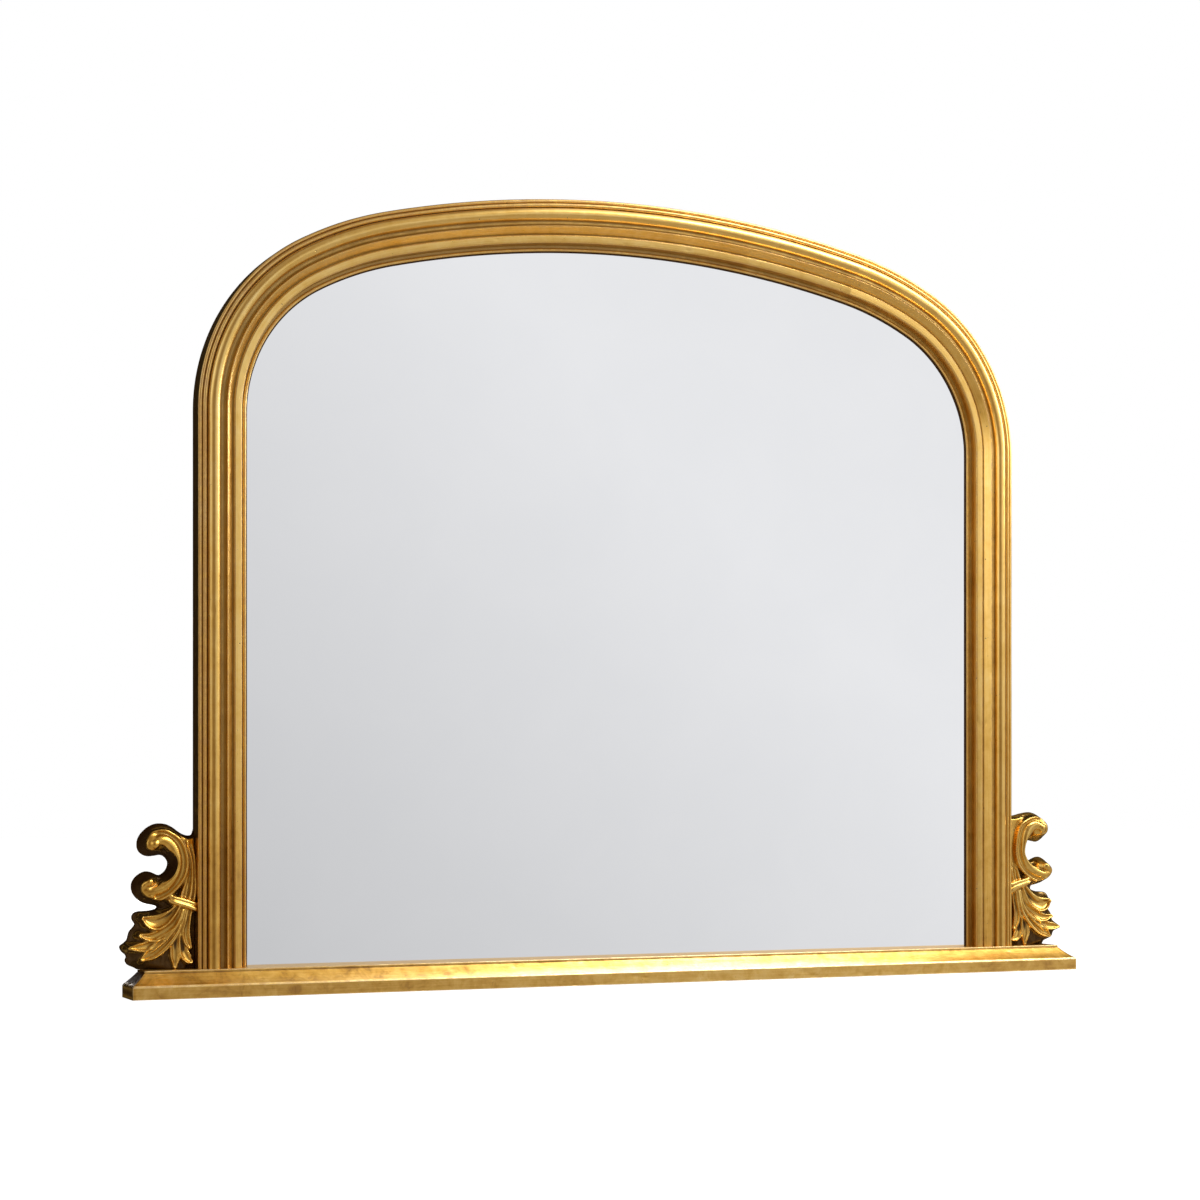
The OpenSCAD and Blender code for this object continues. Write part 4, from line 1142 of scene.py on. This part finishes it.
CAST = rubber("cast_composition_back", (0.42, 0.31, 0.19))
for side, nm in ((-1, "left_ornament"), (1, "right_ornament")):
    piece = ornament(nm + "_carved", side, [GILT_O, CAST])
    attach(piece, "frame")
    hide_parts(nm)

# ---------------------------------------------------------------- CAD nodes that stay
DOWEL = wood("beech_dowel", (0.62, 0.42, 0.24), (0.42, 0.25, 0.12), 1.5, axis=0)
STEEL = metal("zinc_plated_steel", (0.58, 0.57, 0.54), 0.38, (0.30, 0.29, 0.27))
BRASS = metal("brassed_strap", (0.62, 0.44, 0.17), 0.36, (0.30, 0.18, 0.06))
WIRE = metal("brassed_wire", (0.66, 0.47, 0.19), 0.30, (0.32, 0.19, 0.07), 0.7)
BLACK_RUBBER = rubber("black_rubber", (0.022, 0.022, 0.022))
BROWN_RUBBER = rubber("brown_rubber", (0.10, 0.045, 0.018))


def paint(names, mat):
    for n in names:
        o = nodes[n]
        o.data.materials.clear()
        o.data.materials.append(mat)


paint(["plinth_core"], core_mat())
paint(["backing_board"], board("hardboard"))
paint(["arch_dowels", "ornament_dowels"], DOWEL)
paint(["plinth_screws", "hanger_screws", "glazing_points"], STEEL)
paint(["left_hanger_strap", "right_hanger_strap"], BRASS)
paint(["left_hanger_ring", "right_hanger_ring"], WIRE)
paint(["setting_blocks"], BLACK_RUBBER)
paint(["wall_bumpers"], BROWN_RUBBER)

# ---------------------------------------------------------------- floor, light, world
me = bpy.data.meshes.new("floor")
me.from_pydata([(-9, -9, 0), (9, -9, 0), (9, 9, 0), (-9, 9, 0)], [], [(0, 1, 2, 3)])
floor = bpy.data.objects.new("floor", me)
bpy.context.scene.collection.objects.link(floor)
t = Tree("pale_floor")
n = t.noise(t.coord("Object"), 3, 3, 0.5)
t.set(Base_Color=t.ramp(n, [(0.3, (0.30, 0.30, 0.30)), (0.7, (0.31, 0.31, 0.31))]), Roughness=0.9)
t.bsdf.inputs["Specular IOR Level"].default_value = 0.0
t.bsdf.inputs["Emission Color"].default_value = (1, 1, 1, 1)
t.bsdf.inputs["Emission Strength"].default_value = 0.96
floor.data.materials.append(t.mat)
floor.visible_glossy = False

world = bpy.data.worlds.new("studio")
bpy.context.scene.world = world
world.use_nodes = True
wt = world.node_tree
wt.nodes.clear()
W = Tree.__new__(Tree)
W.nt = wt
wout = wt.nodes.new("ShaderNodeOutputWorld")
direction = W.coord("Generated")


def lobe_light(vec, sharp, strength):
    """Soft round patch of light around a direction."""
    v = np.array(vec, float)
    v /= np.linalg.norm(v)
    n = wt.nodes.new("ShaderNodeVectorMath")
    n.operation = "DOT_PRODUCT"
    W.put(n.inputs[0], direction)
    n.inputs[1].default_value = tuple(v)
    e = W.math("EXPONENT", W.math("MULTIPLY", W.math("SUBTRACT", n.outputs["Value"], 1.0), sharp))
    return W.math("MULTIPLY", e, strength)


sep = wt.nodes.new("ShaderNodeSeparateXYZ")
W.put(sep.inputs[0], direction)
dx, dy, dz = sep.outputs
# wall in front of the mirror: grey, lighter to the upper right
wall_tone = W.math("MULTIPLY_ADD", dx, 0.854, W.math("MULTIPLY_ADD", dz, 0.787, 0.455))
wall_tone = W.math("MAXIMUM", W.math("MINIMUM", wall_tone, 0.91), 0.3)
cone = W.math("MULTIPLY", W.remap(dx, 0.03, 0.20), W.remap(dx, 0.74, 0.56))
cone = W.math("MULTIPLY", cone, W.math("MULTIPLY", W.remap(dz, -0.18, -0.09), W.remap(dz, 0.40, 0.24)))
cone = W.math("MULTIPLY", cone, W.remap(dy, -0.3, -0.6))
# dim room around it, lights to both sides, darkest behind
room = W.math("MULTIPLY_ADD", W.remap(dz, 0.0, -0.60), 0.30, 0.18)
for vec, sharp, strength in [((-0.925, -0.23, 0.36), 11, 1.25),
                             ((0.83, -0.46, 0.36), 9, 1.10),
                             ((0.30, -0.30, 0.90), 5, 0.30)]:
    room = W.math("ADD", room, lobe_light(vec, sharp, strength))
room = W.math("MULTIPLY", room, W.remap(W.math("MULTIPLY_ADD", dx, -0.12, dy), 0.38, -0.15, 0.06, 1.0))
warm = W.ramp(W.math("MULTIPLY", room, 0.5), [(0.0, (0.0, 0.0, 0.0)), (0.1, (0.27, 0.19, 0.12)), (0.25, (0.55, 0.49, 0.40)), (0.5, (1.03, 1.0, 0.92)), (1.0, (2.0, 2.0, 1.95))])
grey = W.ramp(W.math("MULTIPLY", wall_tone, 0.5), [(0.0, (0.0, 0.0, 0.0)), (1.0, (1.985, 1.99, 2.02))])
bg = wt.nodes.new("ShaderNodeBackground")
W.put(bg.inputs["Color"], W.mix(cone, warm, grey))
bg.inputs["Strength"].default_value = 1.0
white = wt.nodes.new("ShaderNodeBackground")
white.inputs["Color"].default_value = (1, 1, 1, 1)
white.inputs["Strength"].default_value = 1.0
path = wt.nodes.new("ShaderNodeLightPath")
pick = wt.nodes.new("ShaderNodeMixShader")
W.put(pick.inputs[0], path.outputs["Is Camera Ray"])
wt.links.new(bg.outputs[0], pick.inputs[1])
wt.links.new(white.outputs[0], pick.inputs[2])
wt.links.new(pick.outputs[0], wout.inputs["Surface"])



def softbox(name, where, at, w, h, radiance, colour):
    """Rectangular studio light of a given brightness, aimed at a point."""
    lamp = bpy.data.lights.new(name, "AREA")
    lamp.shape = "RECTANGLE"
    lamp.size, lamp.size_y = w, h
    lamp.energy = radiance * math.pi * w * h
    lamp.color = colour
    o = bpy.data.objects.new(name, lamp)
    o.location = where
    d = np.array(at, float) - np.array(where, float)
    d /= np.linalg.norm(d)
    o.rotation_euler = (math.acos(-d[2]), 0.0, math.atan2(-d[0], d[1]))
    o.visible_camera = False
    bpy.context.scene.collection.objects.link(o)
    return o


softbox("key_light", (0.80, -0.50, 1.62), (0.45, 0.0, 0.4), 0.75, 0.6, 7.0, (1.0, 0.98, 0.93))
softbox("overhead_light", (0.85, -0.25, 1.75), (0.85, -0.2, 0.0), 1.4, 1.2, 1.0, (1.0, 0.97, 0.92))
softbox("right_light", (1.62, -0.55, 1.25), (0.45, 0.0, 0.6), 0.5, 0.9, 7.5, (1.0, 0.98, 0.94))
fill = softbox("fill_light", (0.80, -1.10, 0.95), (0.58, 0.0, 0.75), 0.8, 0.9, 0.45, (1.0, 0.98, 0.94))
side_fill = softbox("side_fill_light", (-0.95, -0.75, 0.95), (0.58, 0.0, 0.75), 0.7, 0.8, 1.1, (1.0, 0.98, 0.94))
only = bpy.data.collections.new("fill_light_on")
for o in bpy.data.objects:
    if o.name.startswith(("right_stile_gilded", "right_haunch_gilded", "right_shoulder_gilded")):
        only.objects.link(o)
fill.light_linking.receiver_collection = only
side_fill.light_linking.receiver_collection = only
softbox("back_light", (0.0, 2.6, 0.25), (0.0, 0.0, 0.5), 1.0, 0.4, 11.0, (1.0, 0.98, 0.95))
carving_light = softbox("carving_light", (0.35, -1.20, 1.30), (-0.60, 0.0, 0.12), 0.75, 0.60, 9.5, (1.0, 0.97, 0.90))
only = bpy.data.collections.new("carving_light_on")
only.objects.link(bpy.data.objects["left_ornament_carved"])
carving_light.light_linking.receiver_collection = only

scene = bpy.context.scene
scene.view_settings.view_transform = "Standard"
scene.view_settings.look = "None"

# ---------------------------------------------------------------- update of the view layer
bpy.context.view_layer.update()
